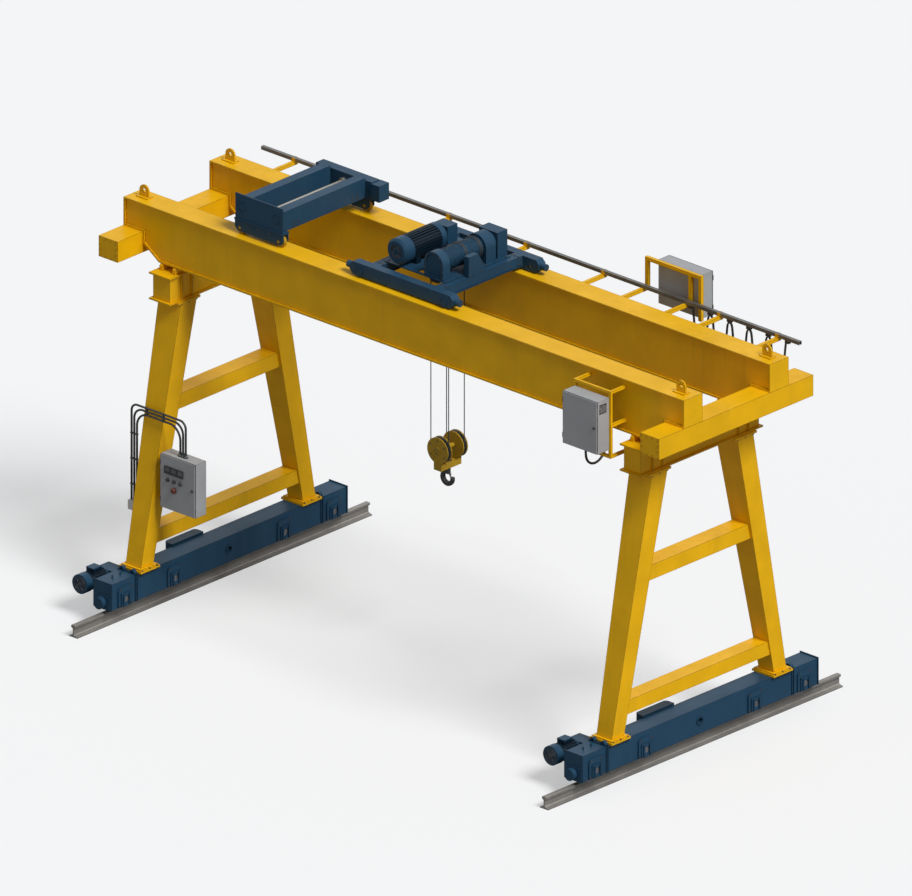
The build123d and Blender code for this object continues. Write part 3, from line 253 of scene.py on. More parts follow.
def buildEdgeGroup():
    # how far the rounded normal turns away from the flat one marks each edge
    tree, start, end = newGroup("edgeMark", [("Width", "NodeSocketFloat", 0.006),
                                             ("Breakup", "NodeSocketFloat", 0.5)],
                                [("Mask", "NodeSocketFloat")])
    bevel = tree.nodes.new("ShaderNodeBevel")
    bevel.samples = edgeForm["samples"]
    tree.links.new(start.outputs["Width"], bevel.inputs["Radius"])
    geometry = tree.nodes.new("ShaderNodeNewGeometry")
    dot = tree.nodes.new("ShaderNodeVectorMath")
    dot.operation = "DOT_PRODUCT"
    tree.links.new(bevel.outputs[0], dot.inputs[0])
    tree.links.new(geometry.outputs["Normal"], dot.inputs[1])
    edge = ramp(tree, dot.outputs["Value"], *edgeForm["turn"])
    patch = noise(tree, objectCoords(tree), *edgeForm["patchNoise"])
    spread = ramp(tree, patch, *edgeForm["patch"])
    kept = math2(tree, "SUBTRACT", 1.0, start.outputs["Breakup"])
    amount = math2(tree, "MAXIMUM", kept, spread)
    mask = math2(tree, "MULTIPLY", edge, amount, True)
    tree.links.new(mask, end.inputs["Mask"])
    return tree


def buildStreakGroup():
    # dust and rain marks that run down the upright faces
    tree, start, end = newGroup("rainStreak", [("Scale", "NodeSocketFloat", 9.0),
                                               ("Amount", "NodeSocketFloat", 0.5)],
                                [("Mask", "NodeSocketFloat")])
    lines = noise(tree, objectCoords(tree, streakForm["stretch"]), start.outputs["Scale"],
                  streakForm["lineDetail"])
    cloud = noise(tree, objectCoords(tree), *streakForm["cloudNoise"])
    mask = math2(tree, "MULTIPLY", ramp(tree, lines, *streakForm["lines"]),
                 ramp(tree, cloud, *streakForm["clouds"]))
    mask = math2(tree, "MULTIPLY", mask, start.outputs["Amount"], True)
    tree.links.new(mask, end.inputs["Mask"])
    return tree


def buildGrainGroup():
    tree, start, end = newGroup("fineGrain", [("Scale", "NodeSocketFloat", 220.0)],
                                [("Height", "NodeSocketFloat"), ("Cloud", "NodeSocketFloat")])
    fine = noise(tree, objectCoords(tree), start.outputs["Scale"], grainForm["detail"])
    cloud = noise(tree, objectCoords(tree), *grainForm["cloudNoise"])
    tree.links.new(fine, end.inputs["Height"])
    tree.links.new(cloud, end.inputs["Cloud"])
    return tree


groups = {"edge": buildEdgeGroup(), "streak": buildStreakGroup(), "grain": buildGrainGroup()}


def useGroup(tree, key, **values):
    node = tree.nodes.new("ShaderNodeGroup")
    node.node_tree = groups[key]
    for label, value in values.items():
        node.inputs[label].default_value = value
    return node


def startMaterial(name):
    material = bpy.data.materials.new(name)
    material.use_nodes = True
    tree = material.node_tree
    return material, tree, tree.nodes["Principled BSDF"]


def shaded(color, share, lift=0.0):
    return tuple(min(1.0, c * share + lift) for c in color)


def cloudColor(tree, grain, color, other):
    return mixColor(tree, ramp(tree, grain.outputs["Cloud"], *grainForm["cloud"]), color, other)


def addBump(tree, shade, height, strength, distance):
    bump = tree.nodes.new("ShaderNodeBump")
    bump.inputs["Strength"].default_value = strength
    bump.inputs["Distance"].default_value = distance
    tree.links.new(height, bump.inputs["Height"])
    tree.links.new(bump.outputs[0], shade.inputs["Normal"])


def bandMask(tree, low, high):
    parts = tree.nodes.new("ShaderNodeSeparateXYZ")
    tree.links.new(objectCoords(tree), parts.inputs[0])
    after = math2(tree, "GREATER_THAN", parts.outputs["Y"], low)
    return math2(tree, "MULTIPLY", after, math2(tree, "LESS_THAN", parts.outputs["Y"], high))


# what the paints, the metals and the rubbers each have in common
# one share below is the colour kept under the painted shade of a motor's finned length
paintForm = {"grain": 260.0, "breakup": 0.15, "streak": 9.0, "deeper": 0.86, "finShade": 0.22,
             "specular": 0.16, "roughGrain": 0.16, "roughLess": 0.08, "roughStreak": 0.3,
             "bump": (0.05, 0.001)}
metalForm = {"breakup": 0.6, "deeper": 0.7, "rustNoise": (14.0, 6, 0.7), "spots": (0.55, 0.75),
             "rustColor": (0.22, 0.12, 0.06), "roughGrain": 0.25, "roughLess": 0.1,
             "bump": (0.12, 0.001)}
rubberForm = {"grain": 400.0, "paler": 1.7, "lift": 0.01, "roughGrain": 0.2, "roughLess": 0.1,
              "bump": (0.15, 0.0006)}


def paintMaterial(name, color, edgeColor, dust, streaks, rough, edgeWidth, shadeBand=None):
    material, tree, shade = startMaterial(name)
    form = paintForm
    grain = useGroup(tree, "grain", Scale=form["grain"])
    edge = useGroup(tree, "edge", Width=edgeWidth, Breakup=form["breakup"])
    streak = useGroup(tree, "streak", Scale=form["streak"], Amount=streaks)
    base = cloudColor(tree, grain, color, shaded(color, form["deeper"]))
    base = mixColor(tree, streak.outputs["Mask"], base, dust)
    if shadeBand:
        # painted shade: the finned length of a motor is darker between its covers, standing in for
        # the shade that falls between its fins
        base = mixColor(tree, bandMask(tree, *shadeBand), base, shaded(color, form["finShade"]))
    base = mixColor(tree, edge.outputs["Mask"], base, edgeColor)
    tree.links.new(base, shade.inputs["Base Color"])
    shade.inputs["Specular IOR Level"].default_value = form["specular"]
    worn = math2(tree, "MULTIPLY", grain.outputs["Cloud"], form["roughGrain"])
    worn = math2(tree, "ADD", worn, rough - form["roughLess"])
    dusty = math2(tree, "MULTIPLY", streak.outputs["Mask"], form["roughStreak"])
    tree.links.new(math2(tree, "ADD", worn, dusty, True), shade.inputs["Roughness"])
    addBump(tree, shade, grain.outputs["Height"], *form["bump"])
    return material


def metalMaterial(name, color, rough, metallic, edgeColor=(0.6, 0.6, 0.6), rust=0.0, scale=90.0,
                  edgeWidth=0.004):
    material, tree, shade = startMaterial(name)
    form = metalForm
    grain = useGroup(tree, "grain", Scale=scale)
    edge = useGroup(tree, "edge", Width=edgeWidth, Breakup=form["breakup"])
    base = cloudColor(tree, grain, color, shaded(color, form["deeper"]))
    if rust:
        spots = ramp(tree, noise(tree, objectCoords(tree), *form["rustNoise"]), *form["spots"])
        base = mixColor(tree, math2(tree, "MULTIPLY", spots, rust), base, form["rustColor"])
    base = mixColor(tree, edge.outputs["Mask"], base, edgeColor)
    tree.links.new(base, shade.inputs["Base Color"])
    shade.inputs["Metallic"].default_value = metallic
    worn = math2(tree, "MULTIPLY", grain.outputs["Height"], form["roughGrain"])
    worn = math2(tree, "ADD", worn, rough - form["roughLess"], True)
    tree.links.new(worn, shade.inputs["Roughness"])
    addBump(tree, shade, grain.outputs["Height"], *form["bump"])
    return material


def rubberMaterial(name, color, rough=0.6):
    material, tree, shade = startMaterial(name)
    form = rubberForm
    grain = useGroup(tree, "grain", Scale=form["grain"])
    base = cloudColor(tree, grain, color, shaded(color, form["paler"], form["lift"]))
    tree.links.new(base, shade.inputs["Base Color"])
    worn = math2(tree, "MULTIPLY", grain.outputs["Height"], form["roughGrain"])
    worn = math2(tree, "ADD", worn, rough - form["roughLess"])
    tree.links.new(worn, shade.inputs["Roughness"])
    addBump(tree, shade, grain.outputs["Height"], *form["bump"])
    return material


yellow = (0.90, 0.49, 0.004)
blue, blueEdge, blueDust = (0.017, 0.060, 0.112), (0.003, 0.006, 0.010), (0.05, 0.10, 0.15)
# stretches along Y of the motors' finned bodies, which carry the painted shade of their fins
finnedHoist, finnedTravel = (-0.468, 0.048), (-2.123, -1.827)
finishes = {
    "yellow_paint": paintMaterial("craneYellow", yellow, (0.10, 0.05, 0.002),
                                  (0.50, 0.29, 0.02), 0.35, 0.42, 0.013),
    "blue_paint": paintMaterial("machineBlue", blue, blueEdge, blueDust, 0.35, 0.45, 0.010),
    "grey_paint": paintMaterial("cabinetGrey", (0.40, 0.41, 0.42), (0.02, 0.022, 0.024),
                                (0.3, 0.29, 0.27), 0.15, 0.5, 0.009),
    "ochre_paint": paintMaterial("blockOchre", (0.46, 0.28, 0.018), (0.03, 0.018, 0.004),
                                 (0.16, 0.12, 0.05), 0.5, 0.42, 0.007),
    "wheel_steel": metalMaterial("wheelSteel", (0.30, 0.30, 0.31), 0.45, 0.85, rust=0.25),
    "rail_steel": metalMaterial("railSteel", (0.30, 0.285, 0.265), 0.5, 0.45,
                                (0.05, 0.045, 0.04), 0.35, 60.0, 0.009),
    "zinc_steel": metalMaterial("zincSteel", (0.20, 0.20, 0.195), 0.45, 0.7),
    "rope_steel": metalMaterial("ropeSteel", (0.045, 0.047, 0.045), 0.6, 0.3, (0.10, 0.10, 0.10)),
    "dark_iron": metalMaterial("darkIron", (0.065, 0.066, 0.07), 0.5, 0.7, (0.3, 0.3, 0.3), 0.2),
    "cable_black": rubberMaterial("cableBlack", (0.012, 0.012, 0.012)),
    "dark_plastic": rubberMaterial("darkPlastic", (0.02, 0.02, 0.021), 0.45),
    "white_plastic": rubberMaterial("whitePlastic", (0.72, 0.72, 0.70), 0.4),
}
extra = {
    "bolt": metalMaterial("boltSteel", (0.06, 0.06, 0.06), 0.5, 0.5, (0.16, 0.16, 0.16)),
    "hoistMotor": paintMaterial("hoistMotorBlue", blue, blueEdge, blueDust, 0.2, 0.42, 0.008,
                                finnedHoist),
    "travelMotor": paintMaterial("travelMotorBlue", blue, blueEdge, blueDust, 0.2, 0.42, 0.006,
                                 finnedTravel),
    "threadSteel": metalMaterial("threadSteel", (0.42, 0.40, 0.36), 0.4, 0.8),
    "dialFace": rubberMaterial("dialFace", (0.09, 0.095, 0.095), 0.5),
    "stopRed": rubberMaterial("stopRed", (0.085, 0.016, 0.008), 0.35),
}


def wear(obj, material):
    if not obj.material_slots:
        obj.data.materials.append(material)
        return
    for slot in obj.material_slots:
        slot.link = "OBJECT"
        slot.material = material


slotOf = {row["node"]: row["material_slot"] for row in frame["record"]["subparts"]}
for name, obj in frame["nodes"].items():
    wear(obj, finishes[slotOf[name]])
special = {"hoist_drum": finishes["blue_paint"], "hoist_motor": extra["hoistMotor"],
           "travel_motors": extra["travelMotor"], "trolley_screw": extra["threadSteel"]}
for name, material in special.items():
    wear(frame["nodes"][name], material)
print("finishes on", len(frame["nodes"]), "nodes")


# mesh helpers

def newPiece(name, mesh, material, body):
    obj = linkObject(name, mesh)
    mesh.materials.append(material)
    if body:
        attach(obj, body)
    return obj


def meshFrom(name, bm, smooth=False):
    mesh = bpy.data.meshes.new(name)
    bm.to_mesh(mesh)
    bm.free()
    if smooth:
        for face in mesh.polygons:
            face.use_smooth = True
    return mesh


def bmPiece(name, bm, material, body, bevel=0.0, smooth=False):
    obj = newPiece(name, meshFrom(name, bm, smooth), material, body)
    if bevel:
        soft = obj.modifiers.new("bevel", "BEVEL")
        soft.width = bevel
        soft.segments = 2
        soft.limit_method = "ANGLE"
    return obj


def turned(axis):
    # turns the helper's own Z to X, to -Y or not at all
    if axis == "X":
        return Matrix.Rotation(math.pi / 2, 4, "Y")
    if axis == "Y":
        return Matrix.Rotation(math.pi / 2, 4, "X")
    return Matrix.Identity(4)


def joinRings(bm, rings, capped=True):
    for one, two in zip(rings, rings[1:]):
        for k in range(len(one)):
            j = (k + 1) % len(one)
            bm.faces.new((one[k], one[j], two[j], two[k]))
    if capped:
        bm.faces.new(rings[0][::-1])
        bm.faces.new(rings[-1])


def addBox(bm, low, high):
    made = bmesh.ops.create_cube(bm, size=1.0)
    low, high = Vector(low), Vector(high)
    size = high - low
    matrix = Matrix.Translation((low + high) / 2) @ Matrix.Diagonal((*size, 1))
    bmesh.ops.transform(bm, verts=made["verts"], matrix=matrix)


def addDisc(bm, place, axis, profile, segments=32):
    # turned form: radius against distance along the axis, closed at both ends
    spin = Matrix.Translation(Vector(place)) @ turned(axis)
    angles = [2 * math.pi * k / segments for k in range(segments)]
    rings = [[bm.verts.new(spin @ Vector((radius * math.cos(a), radius * math.sin(a), out)))
              for a in angles] for radius, out in profile]
    joinRings(bm, rings)
    bmesh.ops.recalc_face_normals(bm, faces=bm.faces)


def addRing(bm, place, axis, major, minor, around=40, tube=8):
    spin = Matrix.Translation(Vector(place)) @ turned(axis)
    rings = []
    for i in range(around):
        a = 2 * math.pi * i / around
        out = Vector((math.cos(a), math.sin(a), 0))
        ring = []
        for k in range(tube):
            b = 2 * math.pi * k / tube
            ring.append(bm.verts.new(spin @ (out * (major + minor * math.cos(b))
                                             + Vector((0, 0, minor * math.sin(b))))))
        rings.append(ring)
    joinRings(bm, rings + rings[:1], capped=False)
    bmesh.ops.recalc_face_normals(bm, faces=bm.faces)


# a bolt's washer and head: share of its radius, share of its height, sides
boltForm = ((1.45, 0.28, 20), (1.0, 0.72, 6))


def addBolt(bm, place, axis, radius, height):
    # a hexagon head through a washer, both centred on their seat, so half of each is sunk
    spin = Matrix.Translation(Vector(place)) @ turned(axis)
    for share, tall, count in boltForm:
        made = bmesh.ops.create_cone(bm, cap_ends=True, segments=count,
                                     radius1=radius * share, radius2=radius * share,
                                     depth=height * tall * 2)
        bmesh.ops.transform(bm, verts=made["verts"], matrix=spin)


def boltSet(name, places, axis, size, body):
    bm = bmesh.new()
    for place in places:
        addBolt(bm, place, axis, *size)
    return bmPiece(name, bm, extra["bolt"], body)


def boxesPiece(name, boxes, finish, body, bevel=0.0015):
    bm = bmesh.new()
    for low, high in boxes:
        addBox(bm, low, high)
    return bmPiece(name, bm, finishes[finish], body, bevel)


def sweptTube(name, points, radius, finish, body, count=10):
    bm = bmesh.new()
    rings = []
    up = Vector((0, 1, 0))
    for i, point in enumerate(points):
        before, after = points[max(0, i - 1)], points[min(len(points) - 1, i + 1)]
        along = (Vector(after) - Vector(before)).normalized()
        side = along.cross(up)
        if side.length < 1e-3:
            side = along.cross(Vector((1, 0, 0)))
        side.normalize()
        up = side.cross(along).normalized()
        ring = []
        for k in range(count):
            a = 2 * math.pi * k / count
            offset = math.cos(a) * side + math.sin(a) * up
            ring.append(bm.verts.new(Vector(point) + radius * offset))
        rings.append(ring)
    joinRings(bm, rings)
    bmesh.ops.recalc_face_normals(bm, faces=bm.faces)
    return bmPiece(name, bm, finishes[finish], body, smooth=True)


# bolted joints of the portals, sills and wheel blocks

sides = (-1, 1)
# places of the model source that the pieces below share, in metres
model = {"spanHalf": 4.2, "footHalf": 1.55, "headHalf": 0.82, "gaugeHalf": 0.8225,
         "sillHalf": 0.150, "sillTop": 0.607, "wheels": (-1.995, -1.05, 1.05, 1.995)}
# a size of bolts is its radius and height
portalBolts = {"size": (0.009, 0.016), "plate": 0.030, "sunk": 0.0032,
               "foot": (0.182, 0.14), "head": (0.199, 0.15)}
blockBolts = {"size": (0.010, 0.010), "plate": 0.020, "middle": 0.387,
              "places": ((-0.118, -0.118), (0.118, -0.118), (-0.100, 0.105), (0.100, 0.105))}


def platePlaces(x, y, z, steps):
    dx, dy = steps
    return [(x + i * dx, y + j * dy, z) for i in sides for j in (-1, 0, 1)]


def boltPortals():
    feet, heads = [], []
    footTop = model["sillTop"] + portalBolts["plate"]
    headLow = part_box("portal_top_beams")[0][2] - portalBolts["plate"] - portalBolts["sunk"]
    for side in sides:
        for end in sides:
            x = side * model["spanHalf"]
            feet += platePlaces(x, end * model["footHalf"], footTop, portalBolts["foot"])
            heads += platePlaces(x, end * model["headHalf"], headLow, portalBolts["head"])
    boltSet("footBolts", feet, "Z", portalBolts["size"], "gantry")
    boltSet("headBolts", heads, "Z", portalBolts["size"], "gantry")


def boltWheelBlocks():
    out = model["sillHalf"] + blockBolts["plate"]
    places = [(side * model["spanHalf"] + face * out, y + dy, blockBolts["middle"] + dz)
              for side in sides for y in model["wheels"] for face in sides
              for dy, dz in blockBolts["places"]]
    boltSet("wheelBlockBolts", places, "X", blockBolts["size"], "gantry")


boltPortals()
boltWheelBlocks()
print("portal and wheel block bolts set")


# cabinets and operator panel

cabinets = {
    # middle x, back y, low z, width, height, depth, side that the door faces
    "front": (3.6125, -1.2725, 4.525, 0.610, 0.740, 0.240, -1),
    "panel": (-3.634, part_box("operator_panel")[1][1], 1.500, 0.617, 0.755, 0.220, -1),
    "rear": (2.550, 1.5575, 5.222, 0.780, 0.620, 0.215, 1),
}
door = {
    "thick": 0.022, "step": 0.006, "gasket": 0.0055, "gasketDeep": 0.008, "skin": 0.0002,
    "hingeRadius": 0.009, "hingeTip": 0.004, "hingeHigh": 0.075, "hingeEnd": 0.003,
    "hingeIn": 0.004, "hingeOut": 0.006, "hingeShares": (0.16, 0.84), "lockIn": 0.045,
    # radius and reach of the lock from the door's face
    "lock": ((0.0205, 0.0006), (0.0205, 0.006), (0.0175, 0.0085), (0.0155, 0.0175),
             (0.0125, 0.0195)),
}


def dressCabinet(key):
    x, back, z, width, height, depth, way = cabinets[key]
    front = back + way * depth
    seam = front - way * door["thick"]
    half = width / 2
    y0, y1 = sorted((seam + way * door["skin"], seam + way * door["gasketDeep"]))
    g, s = door["gasket"], door["step"]
    bars = [((x - half + s - g, y0, z + s - g), (x - half + s, y1, z + height - s + g)),
            ((x + half - s, y0, z + s - g), (x + half - s + g, y1, z + height - s + g)),
            ((x - half + s, y0, z + s - g), (x + half - s, y1, z + s)),
            ((x - half + s, y0, z + height - s), (x + half - s, y1, z + height - s + g))]
    boxesPiece(f"{key}Gasket", bars, "cable_black", "gantry", 0.001)
    hinges = bmesh.new()
    edge = x + way * (half - door["hingeIn"])
    h, r, tip, end = (door[k] for k in ("hingeHigh", "hingeRadius", "hingeTip", "hingeEnd"))
    for share in door["hingeShares"]:
        addDisc(hinges, (edge, front - way * door["hingeOut"], z + height * share - h / 2), "Z",
                [(tip, 0), (r, end), (r, h - end), (tip, h)], 16)
    bmPiece(f"{key}Hinges", hinges, finishes["dark_plastic"], "gantry")
    lock = bmesh.new()
    lockX = x - way * (half - door["lockIn"])
    addDisc(lock, (lockX, front, z + height / 2), "Y",
            [(radius, -way * out) for radius, out in door["lock"]], 28)
    bmPiece(f"{key}Lock", lock, finishes["dark_plastic"], "gantry")


meter = {"size": 0.106, "window": 0.080, "proud": 0.020, "up": 0.560, "pitch": 0.112,
         "skin": 0.0005, "faceBack": 0.0142, "faceFront": 0.0155, "split": 0.014, "bevel": 0.0016,
         "tick": (0.0011, 0.003), "tickBack": 0.0152, "tickFront": 0.0163, "ticks": 9,
         "scale": (0.034, 0.038), "scaleDrop": 0.010, "firstAngle": 150, "tickAngle": 15,
         "needle": (0.0012, 0.022), "needleBack": 0.0158, "needleFront": 0.0168}
# each profile: share of the radius, and reach from the door's face
button = {"radius": 0.0245, "up": 0.420,
          "profile": ((1.2, 0.0004), (1.2, 0.006), (1.05, 0.010), (1.0, 0.024), (0.85, 0.026),
                      (0.5, 0.0244))}
stop = {"radius": 0.040, "up": 0.300,
        "profile": ((1.08, 0.0004), (1.08, 0.008), (0.94, 0.011), (0.94, 0.030), (0.86, 0.038),
                    (0.45, 0.042))}
panelGland = {"pitch": 0.048, "nut": (0.0235, 0.030), "up": 0.028,
              "profile": ((0.0232, 0), (0.0232, 0.008), (0.0200, 0.016), (0.0175, 0.030))}


def addMeter(bezels, faces, marks, x, front, z):
    half, hole, proud = meter["size"] / 2, meter["window"] / 2, meter["proud"]
    for low, high in (((-half, hole), (half, half)), ((-half, -half), (half, -hole)),
                      ((-half, -hole), (-hole, hole)), ((hole, -hole), (half, hole))):
        addBox(bezels, (x + low[0], front - proud, z + low[1]),
               (x + high[0], front - meter["skin"], z + high[1]))
    y0, y1 = front - meter["faceFront"], front - meter["faceBack"]
    addBox(bezels, (x - hole, y0, z - hole), (x + hole, y1, z - meter["split"]))
    addBox(faces, (x - hole, y0, z - meter["split"]), (x + hole, y1, z + hole))
    halfWide, halfHigh = meter["tick"]
    for i in range(meter["ticks"]):
        a = math.radians(meter["firstAngle"] - i * meter["tickAngle"])
        tipX = x + meter["scale"][0] * math.cos(a)
        tipZ = z - meter["scaleDrop"] + meter["scale"][1] * math.sin(a)
        addBox(marks, (tipX - halfWide, front - meter["tickFront"], tipZ - halfHigh),
               (tipX + halfWide, front - meter["tickBack"], tipZ + halfHigh))
    wide, high = meter["needle"]
    addBox(marks, (x - wide, front - meter["needleFront"], z - meter["scaleDrop"]),
           (x + wide, front - meter["needleBack"], z + high))


def dressPanel():
    x0, back, z0, _, height, depth, _ = cabinets["panel"]
    front = back - depth
    places = [x0 + (place - 0.5) * meter["pitch"] for place in (-1, 0, 1)]
    bezels, faces, marks = bmesh.new(), bmesh.new(), bmesh.new()
    for x in places:
        addMeter(bezels, faces, marks, x, front, z0 + meter["up"])
    bmPiece("meterBezels", bezels, finishes["dark_plastic"], "gantry",
            meter["bevel"])
    bmPiece("meterFaces", faces, extra["dialFace"], "gantry")
    bmPiece("meterMarks", marks, finishes["dark_plastic"], "gantry")
    caps = bmesh.new()
    for x in places:
        addDisc(caps, (x, front, z0 + button["up"]), "Y",
                [(button["radius"] * share, out) for share, out in button["profile"]])
    bmPiece("panelButtons", caps, finishes["dark_plastic"], "gantry")
    red = bmesh.new()
    addDisc(red, (x0 - meter["pitch"] / 2, front, z0 + stop["up"]), "Y",
            [(stop["radius"] * share, out) for share, out in stop["profile"]], 36)
    bmPiece("stopButton", red, extra["stopRed"], "gantry")
    glands = bmesh.new()
    for place in (-1, 0, 1):
        x, y, z = x0 + place * panelGland["pitch"], back - depth / 2, z0 + height
        addBolt(glands, (x, y, z), "Z", *panelGland["nut"])
        addDisc(glands, (x, y, z + panelGland["up"]), "Z", panelGland["profile"], 24)
    bmPiece("panelGlands", glands, finishes["dark_plastic"], "gantry")


vent = {"down": 0.120, "half": 0.066, "rim": 0.007, "proud": 0.0035, "sunk": 0.0075,
        "skin": 0.001, "slats": 6, "slatPitch": 0.020, "slatHalf": 0.0048, "slatReach": 0.060,
        "bevel": 0.0008}
cabinetGland = {"pitch": 0.020, "nut": (0.0195, 0.014), "nutDown": 0.001, "down": 0.036,
                "profile": ((0.0185, 0), (0.0205, 0.005), (0.0205, 0.022))}


def dressFrontCabinet():
    x, back, z, width, height, depth, _ = cabinets["front"]
    face, y, top = x + width / 2, back - depth / 2, z + height - vent["down"]
    r, rim, reach = vent["half"], vent["rim"], vent["slatReach"]
    x0, x1 = face - vent["skin"], face + vent["proud"]
    edge = [((x0, y - r, top - r), (x1, y - r + rim, top + r)),
            ((x0, y + r - rim, top - r), (x1, y + r, top + r)),
            ((x0, y - r, top + r - rim), (x1, y + r, top + r)),
            ((x0, y - r, top - r), (x1, y + r, top - r + rim))]
    slats = []
    for i in range(vent["slats"]):
        middle = top + (i - (vent["slats"] - 1) / 2) * vent["slatPitch"]
        slats.append(((face - vent["sunk"], y - reach, middle - vent["slatHalf"]),
                      (x0, y + reach, middle + vent["slatHalf"])))
    boxesPiece("ventGrille", edge + slats, "dark_plastic", "gantry", vent["bevel"])
    nuts = bmesh.new()
    for place in (-2, 0, 2):
        glandX = x + place * cabinetGland["pitch"]
        addBolt(nuts, (glandX, y, z - cabinetGland["nutDown"]), "Z", *cabinetGland["nut"])
        addDisc(nuts, (glandX, y, z - cabinetGland["down"]), "Z", cabinetGland["profile"], 24)
    bmPiece("cabinetGlands", nuts, finishes["dark_plastic"], "gantry")


clips = {"wide": 0.018, "cover": 0.0175, "pitch": 0.048, "conduit": 0.015, "dropOut": 0.870,
         "drops": (1.62, 1.98, 2.34), "runs": (-4.28, -3.98), "bevel": 0.006}


def addConduitClips():
    y = mid("panel_conduits").y
    c, w, p = clips["cover"], clips["wide"] / 2, clips["pitch"]
    x = cabinets["panel"][0] - clips["dropOut"]
    boxes = [((x - p - c, y - c, z - w), (x + p + c, y + c, z + w)) for z in clips["drops"]]
    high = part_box("panel_conduits")[1][2] - p - clips["conduit"]
    boxes += [((x - w, y - c, high - p - c), (x + w, y + c, high + p + c))
              for x in clips["runs"]]
    boxesPiece("conduitClips", boxes, "dark_plastic", "gantry", clips["bevel"])


for key in cabinets:
    dressCabinet(key)
dressPanel()
dressFrontCabinet()
addConduitClips()
print("cabinets and panel dressed")


# ropes: stranded falls, sheave wraps and turns on the drum

# the falls' places about the crab's middle
hookZ, dropX, fallY = 3.0, 0.1583, 0.15
crabX = mid("ropes_drum").x - dropX
drumX, drumZ = crabX + 2 * dropX, 5.869
rope = {"radius": 0.008, "strands": 6, "lay": 0.11, "step": 0.022, "strandOut": 0.0052,
        "strandRadius": 0.0028, "strandSides": 4, "wrapSteps": 24}
drum = {"front": -0.460, "pitch": 0.660 / 22, "ropeRadius": 0.1535, "slack": 0.0003}


def addStrandedFall(name, x, y, low, high):
    # strands wound round the fall, each a thin helix
    bm = bmesh.new()
    count = max(2, int((high - low) / rope["step"]))
    out, r, corners = rope["strandOut"], rope["strandRadius"], rope["strandSides"]
    for strand in range(rope["strands"]):
        rings = []
        for i in range(count + 1):
            z = low + (high - low) * i / count
            a = 2 * math.pi * (z / rope["lay"] + strand / rope["strands"])
            cx, cy = x + out * math.cos(a), y + out * math.sin(a)
            turns = [a + 2 * math.pi * k / corners for k in range(corners)]
            rings.append([bm.verts.new((cx + r * math.cos(t), cy + r * math.sin(t), z))
                          for t in turns])
        joinRings(bm, rings)
    bmesh.ops.recalc_face_normals(bm, faces=bm.faces)
    obj = bmPiece(name, bm, finishes["rope_steel"], None, smooth=True)
    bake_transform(obj)
    return obj


def arcPoints(centre, radius, a0, a1, plane):
    points = []
    for i in range(rope["wrapSteps"] + 1):
        a = a0 + (a1 - a0) * i / rope["wrapSteps"]
        c, s = radius * math.cos(a), radius * math.sin(a)
        offset = (c, 0, s) if plane == "XZ" else (0, c, s)
        points.append(Vector(centre) + Vector(offset))
    return points


def addRopes():
    for nodeName, x in (("ropes_drum", crabX + dropX), ("ropes_equaliser", crabX - dropX)):
        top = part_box(nodeName)[1][2]
        falls = [addStrandedFall(f"{nodeName}_fall_{i}", x, y, hookZ, top)
                 for i, y in enumerate((-fallY, fallY))]
        for fall in falls:
            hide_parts(nodeName)
    for i, y in enumerate((-fallY, fallY)):
        arc = arcPoints((crabX, y, hookZ), dropX, math.pi, 2 * math.pi, "XZ")
        sweptTube(f"blockWrap_{i}", arc, rope["radius"], "rope_steel", "hook_block")
    x, z = crabX - dropX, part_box("ropes_equaliser")[1][2]
    arc = arcPoints((x, 0, z), fallY, 0, math.pi, "YZ")
    sweptTube("equaliserWrap", arc, rope["radius"], "rope_steel", "crab")


def addDrumTurns():
    # two turns lie in the grooves beside each fall
    bm = bmesh.new()
    for fall in (-fallY, fallY):
        groove = round((fall - drum["front"]) / drum["pitch"] - 0.5)
        for n in (groove - 1, groove) if fall > 0 else (groove, groove + 1):
            y = drum["front"] + (n + 0.5) * drum["pitch"]
            addRing(bm, (drumX, y, drumZ), "Y", drum["ropeRadius"],
                    rope["radius"] - drum["slack"], 72, 8)
    bmPiece("drumTurns", bm, finishes["rope_steel"], "drum")


# drives: fan guards, terminal lids and gearbox bolts

motors = {"aside": 0.420, "frontY": -2.245, "z": 0.452, "guardOut": 0.003,
          "guardRings": (0.032, 0.050, 0.068, 0.086, 0.104), "hoist": (-0.462, -0.650, 5.869),
          "hoistGuardIn": 0.006, "hoistRings": (0.052, 0.066, 0.080, 0.093)}
guard = {"wire": 0.0024, "spokes": 6, "spokeTurn": 0.2, "hubIn": 0.004,
         "hub": ((0.022, 0), (0.022, 0.006), (0.014, 0.010))}
lid = {"up": 0.171, "half": 0.068, "low": 0.014, "high": 0.006, "frontY": -2.053,
       "backY": -1.897, "screwX": 0.056, "screwY": 0.066, "screw": (0.0050, 0.005),
       "bevel": 0.004}
gearbox = {"out": 0.281, "y": -1.985, "z": 0.342, "size": (0.0085, 0.010),
           "places": ((-0.06, -0.055), (-0.06, 0.055), (0.07, -0.055), (0.07, 0.055))}


def addFanGuard(name, place, radii, body):
    bm = bmesh.new()
    x, y, z = place
    for radius in radii:
        addRing(bm, place, "Y", radius, guard["wire"])
    outer = radii[-1]
    for i in range(guard["spokes"]):
        a = 2 * math.pi * i / guard["spokes"] + guard["spokeTurn"]
        made = bmesh.ops.create_cone(bm, cap_ends=True, segments=8, radius1=guard["wire"],
                                     radius2=guard["wire"], depth=outer)
        matrix = (Matrix.Translation((x + math.cos(a) * outer / 2, y,
                                      z + math.sin(a) * outer / 2))
                  @ Matrix.Rotation(math.pi / 2 - a, 4, "Y"))
        bmesh.ops.transform(bm, verts=made["verts"], matrix=matrix)
    addDisc(bm, (x, y + guard["hubIn"], z), "Y", guard["hub"], 24)
    bmPiece(name, bm, extra["bolt"], body)


